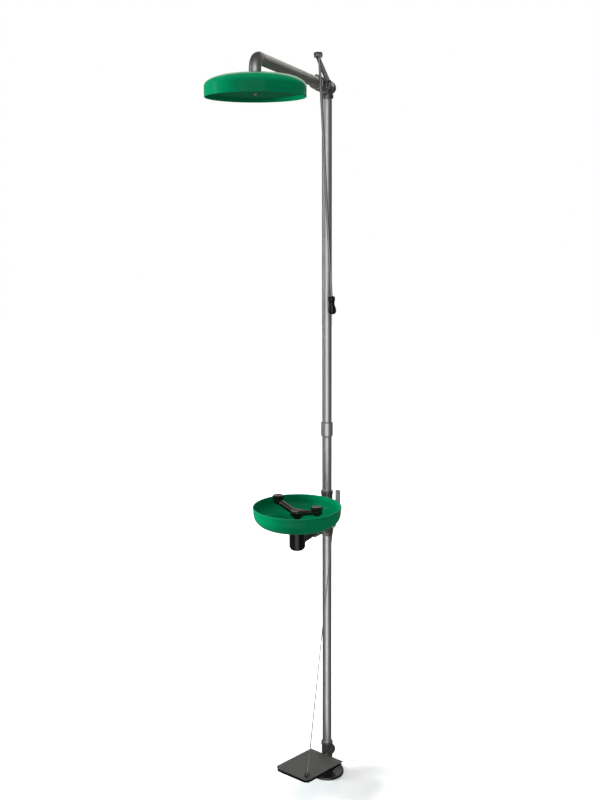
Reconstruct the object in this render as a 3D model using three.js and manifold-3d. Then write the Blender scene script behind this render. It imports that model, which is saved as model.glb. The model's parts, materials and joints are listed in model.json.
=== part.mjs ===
// Combination emergency shower and eyewash station: a floor-standing pipe riser with a deluge
// shower on top, a twin-head eyewash bowl at waist height and a foot treadle for the eyewash.
//
// Millimetres, +Z up. The origin is on the floor under the riser, in the flat underside of the
// floor flange. The shower arm points forward, along -Y. The eyewash arm, the spray yoke and the
// treadle are each screwed on with a small turn of their own, given by the yaw constants below.
// Neighbouring pieces stand GAP apart, and each node is one closed piece.

import * as THREE from "three";
import { mergeVertices } from "three/addons/utils/BufferGeometryUtils.js";
import Module from "manifold-3d";

const wasm = await Module();
wasm.setup();

const GAP = 0.3;
const SEGMENTS = 16;
const SOCKET_GAP = 0.6;
const degrees = THREE.MathUtils.degToRad;

// ---- Sizes of the piping ----

const RISER_RADIUS = 16.7;
const RISER_BORE = 13.3;
const ARM_RADIUS = 16.7;
const ARM_BORE = 13.3;
const SUPPLY_RADIUS = 13.35;
const SUPPLY_BORE = 10.4;
const SOCKET_DEPTH = 14;
const SOCKET_WALL = 3.1;
const BEAD_RISE = 1.7;

// ---- Heights above the floor ----

const HUB_TOP = 26;
const BASE_TEE_Z = 76;
const EYEWASH_Z = 970;
const BEADED_COUPLING_Z = 1044;
const COUPLING_Z = 1292;
const ARM_Z = 2472;
const HEAD_RIM_Z = 2368;
const BOWL_RIM_Z = 1097;

// ---- Turns about the riser, seen from above ----

const SHOWER_YAW = degrees(0.8);
const EYEWASH_YAW = degrees(-9.4);
const YOKE_YAW = degrees(-20);
const TREADLE_YAW = degrees(-19.8);
const TREADLE_RISE = degrees(-6.9);

const SHOWER_REACH = 705;
const BOWL_REACH = 230;

const materials = {
  stainless: new THREE.MeshStandardMaterial({ color: 0xb4b4b2, metalness: 0.9, roughness: 0.35 }),
  cast: new THREE.MeshStandardMaterial({ color: 0x8a8a86, metalness: 0.8, roughness: 0.5 }),
  brass: new THREE.MeshStandardMaterial({ color: 0xc8a45a, metalness: 0.9, roughness: 0.3 }),
  green: new THREE.MeshStandardMaterial({ color: 0x008a55, metalness: 0, roughness: 0.3 }),
  black: new THREE.MeshStandardMaterial({ color: 0x161616, metalness: 0, roughness: 0.4 }),
  seal: new THREE.MeshStandardMaterial({ color: 0xe6e4dc, metalness: 0, roughness: 0.6 }),
  fibre: new THREE.MeshStandardMaterial({ color: 0x7a3a28, metalness: 0, roughness: 0.8 }),
  tread: new THREE.MeshStandardMaterial({ color: 0x77776f, metalness: 0.8, roughness: 0.45 }),
};

const group = new THREE.Group();
group.name = "shower_eyewash_station";

// ---- Closed solids ----

// A geometry that shares its corners and faces outwards.
function closed(geometry) {
  const bare = geometry.clone();
  bare.deleteAttribute("normal");
  bare.deleteAttribute("uv");
  const merged = mergeVertices(bare, 1e-4);
  const position = merged.attributes.position.array;
  const index = Array.from(merged.index.array);
  const triangles = [];
  for (let i = 0; i < index.length; i += 3) {
    const [a, b, c] = index.slice(i, i + 3);
    if (a !== b && b !== c && c !== a) triangles.push(a, b, c);
  }
  let volume = 0;
  const corners = [new THREE.Vector3(), new THREE.Vector3(), new THREE.Vector3()];
  for (let i = 0; i < triangles.length; i += 3) {
    corners.forEach((corner, k) => corner.fromArray(position, 3 * triangles[i + k]));
    volume += corners[0].dot(corners[1].clone().cross(corners[2]));
  }
  if (volume < 0) {
    for (let i = 0; i < triangles.length; i += 3) {
      [triangles[i], triangles[i + 1]] = [triangles[i + 1], triangles[i]];
    }
  }
  return new wasm.Manifold(new wasm.Mesh({
    numProp: 3,
    vertProperties: Float32Array.from(position),
    triVerts: Uint32Array.from(triangles),
  }));
}

function opened(solid) {
  const mesh = solid.getMesh();
  const geometry = new THREE.BufferGeometry();
  geometry.setAttribute("position", new THREE.BufferAttribute(Float32Array.from(mesh.vertProperties), 3));
  geometry.setIndex(Array.from(mesh.triVerts));
  return geometry;
}

function join(...pieces) {
  return opened(pieces.map(closed).reduce((whole, piece) => whole.add(piece)));
}

function cut(whole, ...tools) {
  return opened(tools.map(closed).reduce((left, tool) => left.subtract(tool), closed(whole)));
}

function keepInside(whole, limit) {
  return opened(closed(whole).intersect(closed(limit)));
}

// A body of revolution about +Z through [radius, height] corners. A profile that doesn't start
// and end on the axis is a ring and is closed here.
function turned(profile, segments = SEGMENTS) {
  const points = profile.map(([radius, height]) => new THREE.Vector2(radius, height));
  const onAxis = profile[0][0] === 0 && profile[profile.length - 1][0] === 0;
  if (!onAxis) points.push(points[0].clone());
  return new THREE.LatheGeometry(points, segments).rotateX(Math.PI / 2);
}

function disc(radius, bottom, top, segments = SEGMENTS) {
  return turned([[0, bottom], [radius, bottom], [radius, top], [0, top]], segments);
}

function ring(inner, outer, bottom, top, segments = SEGMENTS) {
  return turned([[inner, bottom], [outer, bottom], [outer, top], [inner, top]], segments);
}

function box(width, depth, height, x = 0, y = 0, z = 0) {
  return new THREE.BoxGeometry(width, depth, height).translate(x, y, z);
}

// A six-sided prism along +Z, measured across its flats.
function hexagon(acrossFlats, bottom, top) {
  return disc(acrossFlats / Math.sqrt(3), bottom, top, 6);
}

// Turns a piece that was made along +Z to lie along a direction, and moves it to a point.
function aim(geometry, direction, point = [0, 0, 0]) {
  const up = new THREE.Vector3(0, 0, 1);
  const turn = new THREE.Quaternion().setFromUnitVectors(up, new THREE.Vector3(...direction).normalize());
  return geometry.clone().applyQuaternion(turn).translate(...point);
}

// A flat plate with this outline in X and Y, from z = 0 up to its thickness.
function plate(shape, thickness, curveSegments = 8) {
  return new THREE.ExtrudeGeometry(shape, { depth: thickness, bevelEnabled: false, curveSegments });
}

function circleShape(radius) {
  return new THREE.Shape().absarc(0, 0, radius, 0, 2 * Math.PI);
}

// A bar of one cross-section along a curve.
function sweep(shape, curve, steps, curveSegments) {
  return new THREE.ExtrudeGeometry(shape, { extrudePath: curve, steps, curveSegments });
}

function arcPoints(centre, radius, from, to, count) {
  const points = [];
  for (let i = 0; i <= count; i += 1) {
    const angle = from + ((to - from) * i) / count;
    points.push([centre[0] + radius * Math.cos(angle), centre[1] + radius * Math.sin(angle)]);
  }
  return points;
}

function add(name, geometry, material, placement = new THREE.Matrix4()) {
  const piece = opened(closed(geometry)).applyMatrix4(placement);
  piece.computeVertexNormals();
  const mesh = new THREE.Mesh(piece, material);
  mesh.name = name;
  group.add(mesh);
}

// ---- Pipe fittings ----

// A screwed fitting about its own origin. Each branch has a direction, a length from the centre
// and the radius of the pipe that it takes.
function fitting(branches) {
  const bodies = branches.map(({ direction, length, pipe }) => {
    const wall = pipe + SOCKET_WALL;
    const bead = wall + BEAD_RISE;
    const body = turned([
      [0, 0], [wall, 0], [wall, length - 14], [bead, length - 12.5],
      [bead, length - 1.2], [bead - 1.2, length], [0, length],
    ]);
    return aim(body, direction);
  });
  const bores = branches.map(({ direction, length, pipe }) => {
    const bore = turned([
      [0, 0], [pipe - 3.4, 0], [pipe - 3.4, length - SOCKET_DEPTH], [pipe + SOCKET_GAP, length - SOCKET_DEPTH],
      [pipe + SOCKET_GAP, length + 1], [0, length + 1],
    ]);
    return aim(bore, direction);
  });
  const centre = new THREE.SphereGeometry(RISER_RADIUS + SOCKET_WALL, 16, 10);
  return cut(join(centre, ...bodies), ...bores);
}

// A plug with a square head, screwed into a socket whose mouth is at z = 0 and faces +Z.
function socketPlug() {
  const thread = turned([[0, -12], [15.7, -12], [RISER_RADIUS, -11], [RISER_RADIUS, 2.5], [0, 2.5]]);
  return join(thread, box(15, 15, 12, 0, 0, 7.5));
}

function pipe(radius, bore, from, to) {
  return ring(bore, radius, from, to);
}

// ---- Floor flange and riser ----

const FLANGE_RADIUS = 62.5;
const BOLT_CIRCLE = 47;
const BASE_TEE_DOWN = 36;

function floorFlange() {
  const body = turned([
    [0, 0], [FLANGE_RADIUS, 0], [FLANGE_RADIUS, 8], [FLANGE_RADIUS - 2, 10], [30, 12], [25, 16],
    [23.5, HUB_TOP], [0, HUB_TOP],
  ], 32);
  const holes = [45, 135, 225, 315].map((angle) => {
    const at = degrees(angle);
    return disc(5.5, -1, 20, 10).translate(BOLT_CIRCLE * Math.cos(at), BOLT_CIRCLE * Math.sin(at), 0);
  });
  return cut(body, disc(RISER_RADIUS + SOCKET_GAP, 4, HUB_TOP + 1), ...holes);
}

add("floor_flange", floorFlange(), materials.cast);
add("base_nipple", pipe(RISER_RADIUS, RISER_BORE, 5, BASE_TEE_Z - BASE_TEE_DOWN + 13), materials.stainless);

const DOWN = [0, 0, -1];
const UP = [0, 0, 1];
const FRONT = [0, -1, 0];
const BACK = [0, 1, 0];
const RIGHT = [1, 0, 0];

const baseTee = fitting([
  { direction: DOWN, length: BASE_TEE_DOWN, pipe: RISER_RADIUS },
  { direction: UP, length: 50.5, pipe: RISER_RADIUS },
  { direction: BACK, length: 40, pipe: RISER_RADIUS },
]);
add("base_tee", baseTee.translate(0, 0, BASE_TEE_Z), materials.cast);
add("base_tee_plug", aim(socketPlug(), BACK, [0, 40, BASE_TEE_Z]), materials.cast);
add("lower_riser", pipe(RISER_RADIUS, RISER_BORE, BASE_TEE_Z + 37.5, EYEWASH_Z - 25), materials.stainless);

const eyewashTee = fitting([
  { direction: DOWN, length: 38, pipe: RISER_RADIUS },
  { direction: UP, length: 38, pipe: RISER_RADIUS },
  { direction: [0, -1, 0], length: 38, pipe: SUPPLY_RADIUS },
]);
const eyewashFrame = new THREE.Matrix4().makeRotationZ(EYEWASH_YAW);
add("eyewash_tee", eyewashTee.translate(0, 0, EYEWASH_Z), materials.cast, eyewashFrame);
add("riser_nipple", pipe(RISER_RADIUS, RISER_BORE, EYEWASH_Z + 25, BEADED_COUPLING_Z + 13), materials.stainless);

const beadedCoupling = turned([
  [RISER_RADIUS + SOCKET_GAP, 0], [20.3, 0], [21.5, 1.2], [21.5, 12.5], [19.8, 14], [19.8, 36], [21.5, 37.5],
  [21.5, 48.8], [20.3, 50], [RISER_RADIUS + SOCKET_GAP, 50], [RISER_RADIUS + SOCKET_GAP, 36],
  [RISER_BORE, 36], [RISER_BORE, 14], [RISER_RADIUS + SOCKET_GAP, 14],
]);
add("beaded_coupling", beadedCoupling.translate(0, 0, BEADED_COUPLING_Z), materials.cast);
add("middle_riser", pipe(RISER_RADIUS, RISER_BORE, BEADED_COUPLING_Z + 37, COUPLING_Z + 13), materials.stainless);

const plainCoupling = turned([
  [RISER_RADIUS + SOCKET_GAP, 0], [19.2, 0], [20.7, 2.5], [20.7, 47.5], [19.2, 50], [RISER_RADIUS + SOCKET_GAP, 50],
  [RISER_RADIUS + SOCKET_GAP, 36], [RISER_BORE, 36], [RISER_BORE, 14], [RISER_RADIUS + SOCKET_GAP, 14],
]);
add("riser_coupling", plainCoupling.translate(0, 0, COUPLING_Z), materials.stainless);
add("upper_riser", pipe(RISER_RADIUS, RISER_BORE, COUPLING_Z + 37, ARM_Z - 25), materials.stainless);

const topTee = fitting([
  { direction: DOWN, length: 38, pipe: RISER_RADIUS },
  { direction: FRONT, length: 38, pipe: RISER_RADIUS },
  { direction: BACK, length: 40, pipe: RISER_RADIUS },
]);
const showerFrame = new THREE.Matrix4().makeRotationZ(SHOWER_YAW);
add("top_tee", topTee.translate(0, 0, ARM_Z), materials.cast, showerFrame);
add("top_tee_plug", aim(socketPlug(), BACK, [0, 40, ARM_Z]), materials.cast, showerFrame);

// ---- Ball valves ----

// The pieces of a ball valve about its own centre: the water runs along Y and the stem points
// along +X. The ball is shown closed, with its bore upright.
function ballValve({ half, drum, ball, bore, inlet, outlet, stem, leverAt, stemEnd }) {
  const inletEnd = aim(hexagon(2 * (inlet + 5.6), 5, half), BACK);
  const outletEnd = aim(hexagon(2 * (outlet + 5.6), 5, half), FRONT);
  const middle = turned([
    [0, -half + 10], [drum - 2, -half + 10], [drum, -half + 12], [drum, half - 12], [drum - 2, half - 10],
    [0, half - 10],
  ]);
  const boss = aim(disc(stem + 6, 0, leverAt - 6), RIGHT);
  const chamber = aim(disc(ball + GAP, -ball - 3, ball + 3), FRONT);
  const body = cut(
    join(aim(middle, FRONT), inletEnd, outletEnd, boss),
    chamber,
    aim(disc(bore, -half - 1, half + 1), FRONT),
    aim(disc(inlet + SOCKET_GAP, half - 11, half + 1), BACK),
    aim(disc(outlet + SOCKET_GAP, half - 11, half + 1), FRONT),
    aim(disc(stem + GAP, 0, leverAt), RIGHT),
  );
  const slotDepth = 4;
  const sphere = new THREE.SphereGeometry(ball, 16, 10);
  const tang = { wide: 1.6 * stem, thick: 3 };
  const ballPiece = cut(
    sphere,
    disc(bore, -ball - 1, ball + 1, 16),
    box(slotDepth, tang.thick + 2 * GAP, 2 * ball, ball - slotDepth / 2 + 0.01),
  );
  const dish = new THREE.SphereGeometry(ball + 0.8, 16, 10);
  const seat = cut(ring(bore + 0.5, ball, ball * 0.76, ball + 2.7), dish);
  const stemPiece = join(
    disc(stem, ball + 0.7, stemEnd, 20),
    box(tang.thick, tang.wide, slotDepth + 2, 0, 0, ball - slotDepth + GAP + (slotDepth + 2) / 2),
  );
  return {
    body,
    ball: ballPiece,
    inletSeat: aim(seat, BACK),
    outletSeat: aim(seat, FRONT),
    stem: aim(stemPiece.rotateZ(Math.PI / 2), RIGHT),
    packingNut: aim(cut(hexagon(2 * stem + 9, leverAt - 5.7, leverAt - 1), disc(stem + GAP, 0, leverAt)), RIGHT),
    leverNut: aim(cut(hexagon(2 * stem + 7, stemEnd - 7, stemEnd - 1.5), disc(stem + GAP, 0, 99, 20)), RIGHT),
  };
}

function addValve(prefix, valve, placement) {
  add(`${prefix}_valve_body`, valve.body, materials.stainless, placement);
  add(`${prefix}_valve_ball`, valve.ball, materials.stainless, placement);
  add(`${prefix}_seat_inlet`, valve.inletSeat, materials.seal, placement);
  add(`${prefix}_seat_outlet`, valve.outletSeat, materials.seal, placement);
  add(`${prefix}_valve_stem`, valve.stem, materials.stainless, placement);
  add(`${prefix}_packing_nut`, valve.packingNut, materials.stainless, placement);
  add(`${prefix}_lever_nut`, valve.leverNut, materials.stainless, placement);
}

// ---- Shower valve, lever and pull rod ----

const SHOWER_VALVE_Y = -94;
const SHOWER_LEVER_X = 29;
const LEVER_FORWARD = 130;
const LEVER_UP = 68;
const ROD_X = 38.2;
const ROD_LEAN = degrees(10.8);
const GRIP_TOP = -764;

const valveNipple = pipe(RISER_RADIUS, RISER_BORE, 25, -SHOWER_VALVE_Y - 22);
add("shower_valve_nipple", aim(valveNipple, FRONT, [0, 0, ARM_Z]), materials.stainless, showerFrame);

const showerValve = ballValve({
  half: 31, drum: 23, ball: 16, bore: 11, inlet: RISER_RADIUS, outlet: ARM_RADIUS,
  stem: 5, leverAt: SHOWER_LEVER_X, stemEnd: SHOWER_LEVER_X + 12.5,
});
const showerValveFrame = new THREE.Matrix4().makeTranslation(0, SHOWER_VALVE_Y, ARM_Z).premultiply(showerFrame);
addValve("shower", showerValve, showerValveFrame);

// A flat bar with round ends, from the origin along +X, with a hole at each end.
function linkBar(length, startRadius, endRadius, thickness, startHole, endHole) {
  const blank = join(
    disc(startRadius, 0, thickness, 24),
    disc(endRadius, 0, thickness, 24).translate(length, 0, 0),
    plate(new THREE.Shape([
      new THREE.Vector2(0, -startRadius), new THREE.Vector2(length, -endRadius),
      new THREE.Vector2(length, endRadius), new THREE.Vector2(0, startRadius),
    ]), thickness),
  );
  return cut(blank, disc(startHole, -1, thickness + 1, 20), disc(endHole, -1, thickness + 1, 20).translate(length, 0, 0));
}

// Stands a link bar in a plane square to X, pointing forward and up by an angle.
function standing(bar, angle) {
  return bar.rotateZ(angle).rotateX(Math.PI / 2).rotateZ(-Math.PI / 2);
}

const leverLength = Math.hypot(LEVER_FORWARD, LEVER_UP);
const leverAngle = Math.atan2(LEVER_UP, LEVER_FORWARD);
const showerLever = standing(linkBar(leverLength, 14, 9.5, 5, 5 + GAP, 4 + GAP), leverAngle);
const leverInnerFace = new THREE.Matrix4().makeTranslation(SHOWER_LEVER_X + 5, 0, 0).premultiply(showerValveFrame);
add("shower_lever", showerLever, materials.stainless, leverInnerFace);

const rodTop = [ROD_X, SHOWER_VALVE_Y - LEVER_FORWARD, ARM_Z + LEVER_UP];
const boltAt = new THREE.Matrix4().makeTranslation(0, rodTop[1], rodTop[2]).premultiply(showerFrame);
const rodBolt = join(hexagon(16, SHOWER_LEVER_X - 6, SHOWER_LEVER_X - GAP), disc(4, SHOWER_LEVER_X - 1, ROD_X + 9.8, 20));
const rodNut = cut(hexagon(16, ROD_X + 3.6, ROD_X + 8.6), disc(4 + GAP, ROD_X, ROD_X + 12, 20));
add("pull_rod_bolt", aim(rodBolt, RIGHT), materials.stainless, boltAt);
add("pull_rod_nut", aim(rodNut, RIGHT), materials.stainless, boltAt);

const rodFrame = new THREE.Matrix4().makeRotationX(ROD_LEAN).setPosition(...rodTop).premultiply(showerFrame);
const rodEye = aim(cut(disc(9, -3.2, 3.2, 16), disc(4 + GAP, -4, 4, 16)), RIGHT);
const rodNeck = box(6.4, 10, 10, 0, 0, -12.5);
add("pull_rod", join(rodEye, rodNeck, disc(4, GRIP_TOP - 45, -15, 16)), materials.stainless, rodFrame);

const gripProfile = [
  [0, -61], [6, -61], [10.5, -59], [13.2, -54], [13.7, -48], [12.6, -41], [10.2, -34], [8.9, -28],
  [9.6, -20], [11.4, -13], [12.1, -8], [11.2, -3], [8, 0], [0, 0],
];
const grip = cut(turned(gripProfile, 20), disc(4 + GAP, -46, 1, 16));
add("pull_handle", grip.translate(0, 0, GRIP_TOP), materials.black, rodFrame);

// ---- Shower arm and head ----

const BEND_RADIUS = 33;
const LEG_END_Z = 2398;
const SHELL_HEIGHT = 57;
const SHELL_RADIUS = 136.3;
const SHOULDER_WIDE = 76;
const SHOULDER_HIGH = 30;
const SHELL_WALL = 3;

const armStart = -(SHOWER_VALVE_Y - 31 + 10);
const armEnd = SHOWER_REACH - BEND_RADIUS - 4 * GAP;
add("shower_arm", aim(pipe(ARM_RADIUS, ARM_BORE, armStart, armEnd), FRONT, [0, 0, ARM_Z]), materials.stainless, showerFrame);

function showerElbow() {
  const section = circleShape(ARM_RADIUS);
  const core = circleShape(ARM_BORE);
  const bend = new THREE.CatmullRomCurve3(
    arcPoints([-(SHOWER_REACH - BEND_RADIUS), ARM_Z - BEND_RADIUS], BEND_RADIUS, Math.PI / 2, Math.PI, 12)
      .map(([y, z]) => new THREE.Vector3(0, y, z)),
  );
  const legTop = ARM_Z - BEND_RADIUS + 1;
  const leg = disc(ARM_RADIUS, LEG_END_Z, legTop).translate(0, -SHOWER_REACH, 0);
  const legBore = disc(ARM_BORE, LEG_END_Z - 1, legTop + 1).translate(0, -SHOWER_REACH, 0);
  const throat = aim(disc(ARM_BORE, 0, 2), BACK, [0, -(SHOWER_REACH - BEND_RADIUS) - 1, ARM_Z]);
  const outer = join(sweep(section, bend, 6, 8), leg);
  return cut(outer, sweep(core, bend, 6, 8), legBore, throat);
}
add("shower_elbow", showerElbow(), materials.stainless, showerFrame);

// The shoulder is a quarter of an ellipse between an upright side and a flat middle.
function shoulder(inset, from, to, count) {
  return arcPoints([0, 0], 1, from, to, count).map(([across, up]) => [
    SHELL_RADIUS - SHOULDER_WIDE + (SHOULDER_WIDE - inset) * across,
    SHELL_HEIGHT - SHOULDER_HIGH + (SHOULDER_HIGH - inset) * up,
  ]);
}

function headShell() {
  return turned([
    [SHELL_RADIUS - SHELL_WALL, 0],
    [SHELL_RADIUS, 0],
    ...shoulder(0, 0, Math.PI / 2, 6),
    [ARM_RADIUS + SOCKET_GAP, SHELL_HEIGHT],
    [ARM_RADIUS + SOCKET_GAP, SHELL_HEIGHT - SHELL_WALL],
    ...shoulder(SHELL_WALL, Math.PI / 2, 0, 6),
  ], 32);
}

const headFrame = new THREE.Matrix4().makeTranslation(0, -SHOWER_REACH, HEAD_RIM_Z).premultiply(showerFrame);
add("shower_head", headShell(), materials.green, headFrame);
add("head_washer", ring(ARM_RADIUS + SOCKET_GAP, 22, SHELL_HEIGHT + GAP, SHELL_HEIGHT + 3), materials.fibre, headFrame);
const lockNut = cut(hexagon(44, SHELL_HEIGHT - 11, SHELL_HEIGHT - SHELL_WALL - GAP), disc(ARM_RADIUS + SOCKET_GAP, 0, 99));
add("head_lock_nut", lockNut, materials.stainless, headFrame);

// A hub in the end of the leg carries a stud, and a perforated plate hangs on the stud.
function spreaderHub() {
  const legEnd = LEG_END_Z - HEAD_RIM_Z;
  const body = join(disc(ARM_BORE - GAP, legEnd - 2, legEnd + 9), disc(15.6, legEnd - 4, legEnd - GAP), disc(3.5, 4, legEnd, 12));
  const ports = [0, 90, 180, 270].map((angle) => disc(2.4, 0, 60, 6).translate(7.5, 0, 0).rotateZ(degrees(angle)));
  return cut(body, ...ports);
}
add("spreader_hub", spreaderHub(), materials.stainless, headFrame);

function spreaderPlate() {
  const blank = turned([[3.5 + GAP, 10], [120, 10], [120, 17], [117, 17], [117, 13], [3.5 + GAP, 13]], 32);
  const rows = [[35, 6], [85, 12]];
  const holes = rows.flatMap(([radius, count]) => Array.from({ length: count }, (_, i) => (
    disc(4, 5, 16, 6).translate(radius, 0, 0).rotateZ((2 * Math.PI * i) / count)
  )));
  return cut(blank, ...holes);
}
add("spreader_plate", spreaderPlate(), materials.green, headFrame);
add("spreader_nut", cut(hexagon(13, 5, 9.7), disc(3.5 + GAP, 0, 20, 16)), materials.stainless, headFrame);

// ---- Eyewash valve and hand lever ----

const EYEWASH_VALVE_Y = -74;
const EYEWASH_LEVER_X = 28;
const HAND_LEVER_X = 75;
const HAND_LEVER_TOP = 158;
const CRANK_RADIUS = 30;
const HOOK_X = 50;

const eyewashValveFrame = new THREE.Matrix4().makeTranslation(0, EYEWASH_VALVE_Y, EYEWASH_Z).premultiply(eyewashFrame);
const eyewashNipple = aim(pipe(SUPPLY_RADIUS, SUPPLY_BORE, 25, 55), FRONT, [0, 0, EYEWASH_Z]);
add("eyewash_nipple", eyewashNipple, materials.stainless, eyewashFrame);
addValve("eyewash", ballValve({
  half: 28, drum: 20, ball: 13, bore: 9, inlet: SUPPLY_RADIUS, outlet: SUPPLY_RADIUS,
  stem: 4.5, leverAt: EYEWASH_LEVER_X, stemEnd: 41.5,
}), eyewashValveFrame);

// The hand lever is one bent bar. A short crank behind the stem carries the pin that the
// treadle rod pulls down.
function eyewashLever() {
  const thickness = 5;
  const width = 32;
  const centreLine = [
    [EYEWASH_LEVER_X, -13], [EYEWASH_LEVER_X, 24], [HAND_LEVER_X, 88], [HAND_LEVER_X, HAND_LEVER_TOP],
  ];
  const outline = new THREE.Shape([
    ...centreLine.map(([x, z]) => new THREE.Vector2(x, z)),
    ...centreLine.slice().reverse().map(([x, z]) => new THREE.Vector2(x + thickness, z)),
  ]);
  const bar = plate(outline, width).rotateX(Math.PI / 2).translate(0, width / 2, 0);
  const crank = linkBar(CRANK_RADIUS, 13, 8, 3, 1, 1).rotateZ(degrees(45));
  const backwards = crank.rotateX(Math.PI / 2).rotateZ(Math.PI / 2).translate(EYEWASH_LEVER_X, 0, 0);
  const pinY = CRANK_RADIUS * Math.cos(degrees(45));
  const pin = aim(disc(2.5, 0, HOOK_X + 4 - EYEWASH_LEVER_X, 12), RIGHT, [EYEWASH_LEVER_X, pinY, pinY]);
  const head = aim(disc(12, 0, 2, 16), RIGHT, [HOOK_X + 4, pinY, pinY]);
  return cut(join(bar, backwards, pin, head), aim(disc(4.5 + GAP, 0, 99, 20), RIGHT));
}
add("eyewash_lever", eyewashLever(), materials.stainless, eyewashValveFrame);

// ---- Bowl, drain body and yoke ----

const BOWL_RADIUS = 149.2;
const BOWL_DEPTH = 63;
const BOWL_CORNER = 42;
const BOWL_WALL = 3.2;
const FLOOR_HOLE = 23;
const SUPPLY_Z = EYEWASH_Z - BOWL_RIM_Z;
const bowlFrame = new THREE.Matrix4().makeTranslation(0, -BOWL_REACH, BOWL_RIM_Z).premultiply(eyewashFrame);

const bowlArm = aim(pipe(SUPPLY_RADIUS, SUPPLY_BORE, 92, BOWL_REACH - 25), FRONT, [0, 0, EYEWASH_Z]);
add("bowl_arm", bowlArm, materials.black, eyewashFrame);

function bowlShell() {
  const centre = [BOWL_RADIUS - 2 - BOWL_CORNER, -BOWL_DEPTH + BOWL_CORNER];
  return turned([
    [FLOOR_HOLE, -BOWL_DEPTH],
    ...arcPoints(centre, BOWL_CORNER, -Math.PI / 2, 0, 5),
    [BOWL_RADIUS - 1.5, -7], [BOWL_RADIUS, -6], [BOWL_RADIUS, -1.2], [BOWL_RADIUS - 1.2, 0],
    [BOWL_RADIUS - 5, 0],
    ...arcPoints(centre, BOWL_CORNER - BOWL_WALL, 0, -Math.PI / 2, 5),
    [FLOOR_HOLE, -BOWL_DEPTH + BOWL_WALL],
  ], 32);
}
add("eyewash_bowl", bowlShell(), materials.green, bowlFrame);
add("bowl_gasket", ring(FLOOR_HOLE, 30, -BOWL_DEPTH - 2.7, -BOWL_DEPTH - GAP), materials.fibre, bowlFrame);

// The black body under the bowl: an outer drain passage, and inside it the supply tube that
// turns up to the yoke.
const DRAIN_RADIUS = 27;

function drainBody() {
  const bottom = SUPPLY_Z - 16;
  const top = -BOWL_DEPTH + BOWL_WALL;
  const shell = ring(19, DRAIN_RADIUS, bottom, -BOWL_DEPTH - 6);
  const collar = turned([
    [19, -BOWL_DEPTH - 8], [DRAIN_RADIUS, -BOWL_DEPTH - 8], [30, -BOWL_DEPTH - 6], [30, -BOWL_DEPTH - 3],
    [FLOOR_HOLE - 0.6, -BOWL_DEPTH - 3], [FLOOR_HOLE - 0.6, top], [19, top],
  ]);
  const threadRing = ring(19, 21, bottom - 5, bottom + 1);
  const crossTube = aim(disc(11.5, -20, 20, 16), BACK, [0, 0, SUPPLY_Z]);
  const boss = aim(disc(15.9, 20.5, 36), BACK, [0, 0, SUPPLY_Z]);
  const riser = disc(10.5, SUPPLY_Z - 10, -34, 20);
  const socket = aim(disc(SUPPLY_RADIUS + SOCKET_GAP, 23.5, 37), BACK, [0, 0, SUPPLY_Z]);
  const supply = aim(disc(7.5, 0, 30, 16), BACK, [0, 0, SUPPLY_Z]);
  const upBore = disc(7, SUPPLY_Z - 2, -30, 16);
  return cut(join(shell, collar, threadRing, crossTube, boss, riser), socket, supply, upBore);
}
add("drain_body", drainBody(), materials.black, bowlFrame);

const nutBottom = SUPPLY_Z - 24;
const drainNut = turned([
  [15, nutBottom], [19.5, nutBottom], [24, nutBottom + 4], [24, nutBottom + 7.7],
  [21 + GAP, nutBottom + 7.7], [21 + GAP, nutBottom + 2.7], [15, nutBottom + 2.7],
], 24);
add("drain_nut", drainNut, materials.black, bowlFrame);

function strainer() {
  const floor = -BOWL_DEPTH + BOWL_WALL + GAP;
  const blank = turned([[10.5 + GAP, floor], [34, floor], [32, floor + 3], [10.5 + GAP, floor + 3]]);
  const holes = Array.from({ length: 8 }, (_, i) => (
    disc(2.4, floor - 1, floor + 4, 6).translate(15, 0, 0).rotateZ((2 * Math.PI * i) / 8)
  ));
  return cut(blank, ...holes);
}
add("bowl_strainer", strainer(), materials.stainless, bowlFrame);

const HEAD_SPACING = 95.5;
const YOKE_LOW = -22;
const YOKE_HIGH = -4.5;
const YOKE_END_TOP = 5.5;
const yokeFrame = bowlFrame.clone().multiply(new THREE.Matrix4().makeRotationZ(YOKE_YAW));

function sprayYoke() {
  const arms = [-1, 1].map((side) => {
    const curve = new THREE.CatmullRomCurve3([
      new THREE.Vector3(0, 0, YOKE_LOW),
      new THREE.Vector3(side * HEAD_SPACING * 0.45, 0, YOKE_LOW + 6),
      new THREE.Vector3(side * HEAD_SPACING * 0.8, 0, YOKE_HIGH - 3),
      new THREE.Vector3(side * HEAD_SPACING, 0, YOKE_HIGH),
    ]);
    return sweep(circleShape(9.5), curve, 6, 5);
  });
  const ends = [-1, 1].map((side) => (
    turned([
      [0, -11], [11, -11], [18, -4], [18, YOKE_END_TOP], [8, YOKE_END_TOP], [8, 11], [0, 11],
    ]).translate(side * HEAD_SPACING, 0, 0)
  ));
  const hub = turned([[0, -38], [17, -38], [22, -33], [24.5, -26], [24.5, -18], [21, -13.5], [0, -13]]);
  return cut(join(hub, ...arms, ...ends), disc(10.5 + GAP, -50, -33.5), disc(7, -50, -24, 16));
}
add("spray_yoke", sprayYoke(), materials.black, yokeFrame);

function sprayHead() {
  const cup = disc(16.8, YOKE_END_TOP + GAP, 17, 20);
  const holes = Array.from({ length: 6 }, (_, i) => (
    disc(1.3, 13, 20, 6).translate(9, 0, 0).rotateZ((2 * Math.PI * i) / 6)
  ));
  return cut(cup, disc(8 + GAP, 0, 11.5, 16), ring(5, 12, 11, 14, 16), ...holes);
}

function dustCap() {
  return turned([
    [0, 20.8], [12, 20.8], [17, 19.4], [19.2, 16.5], [19.2, 6], [17.1, 6], [17.1, 17.5], [0, 17.5],
  ], 20);
}

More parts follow.
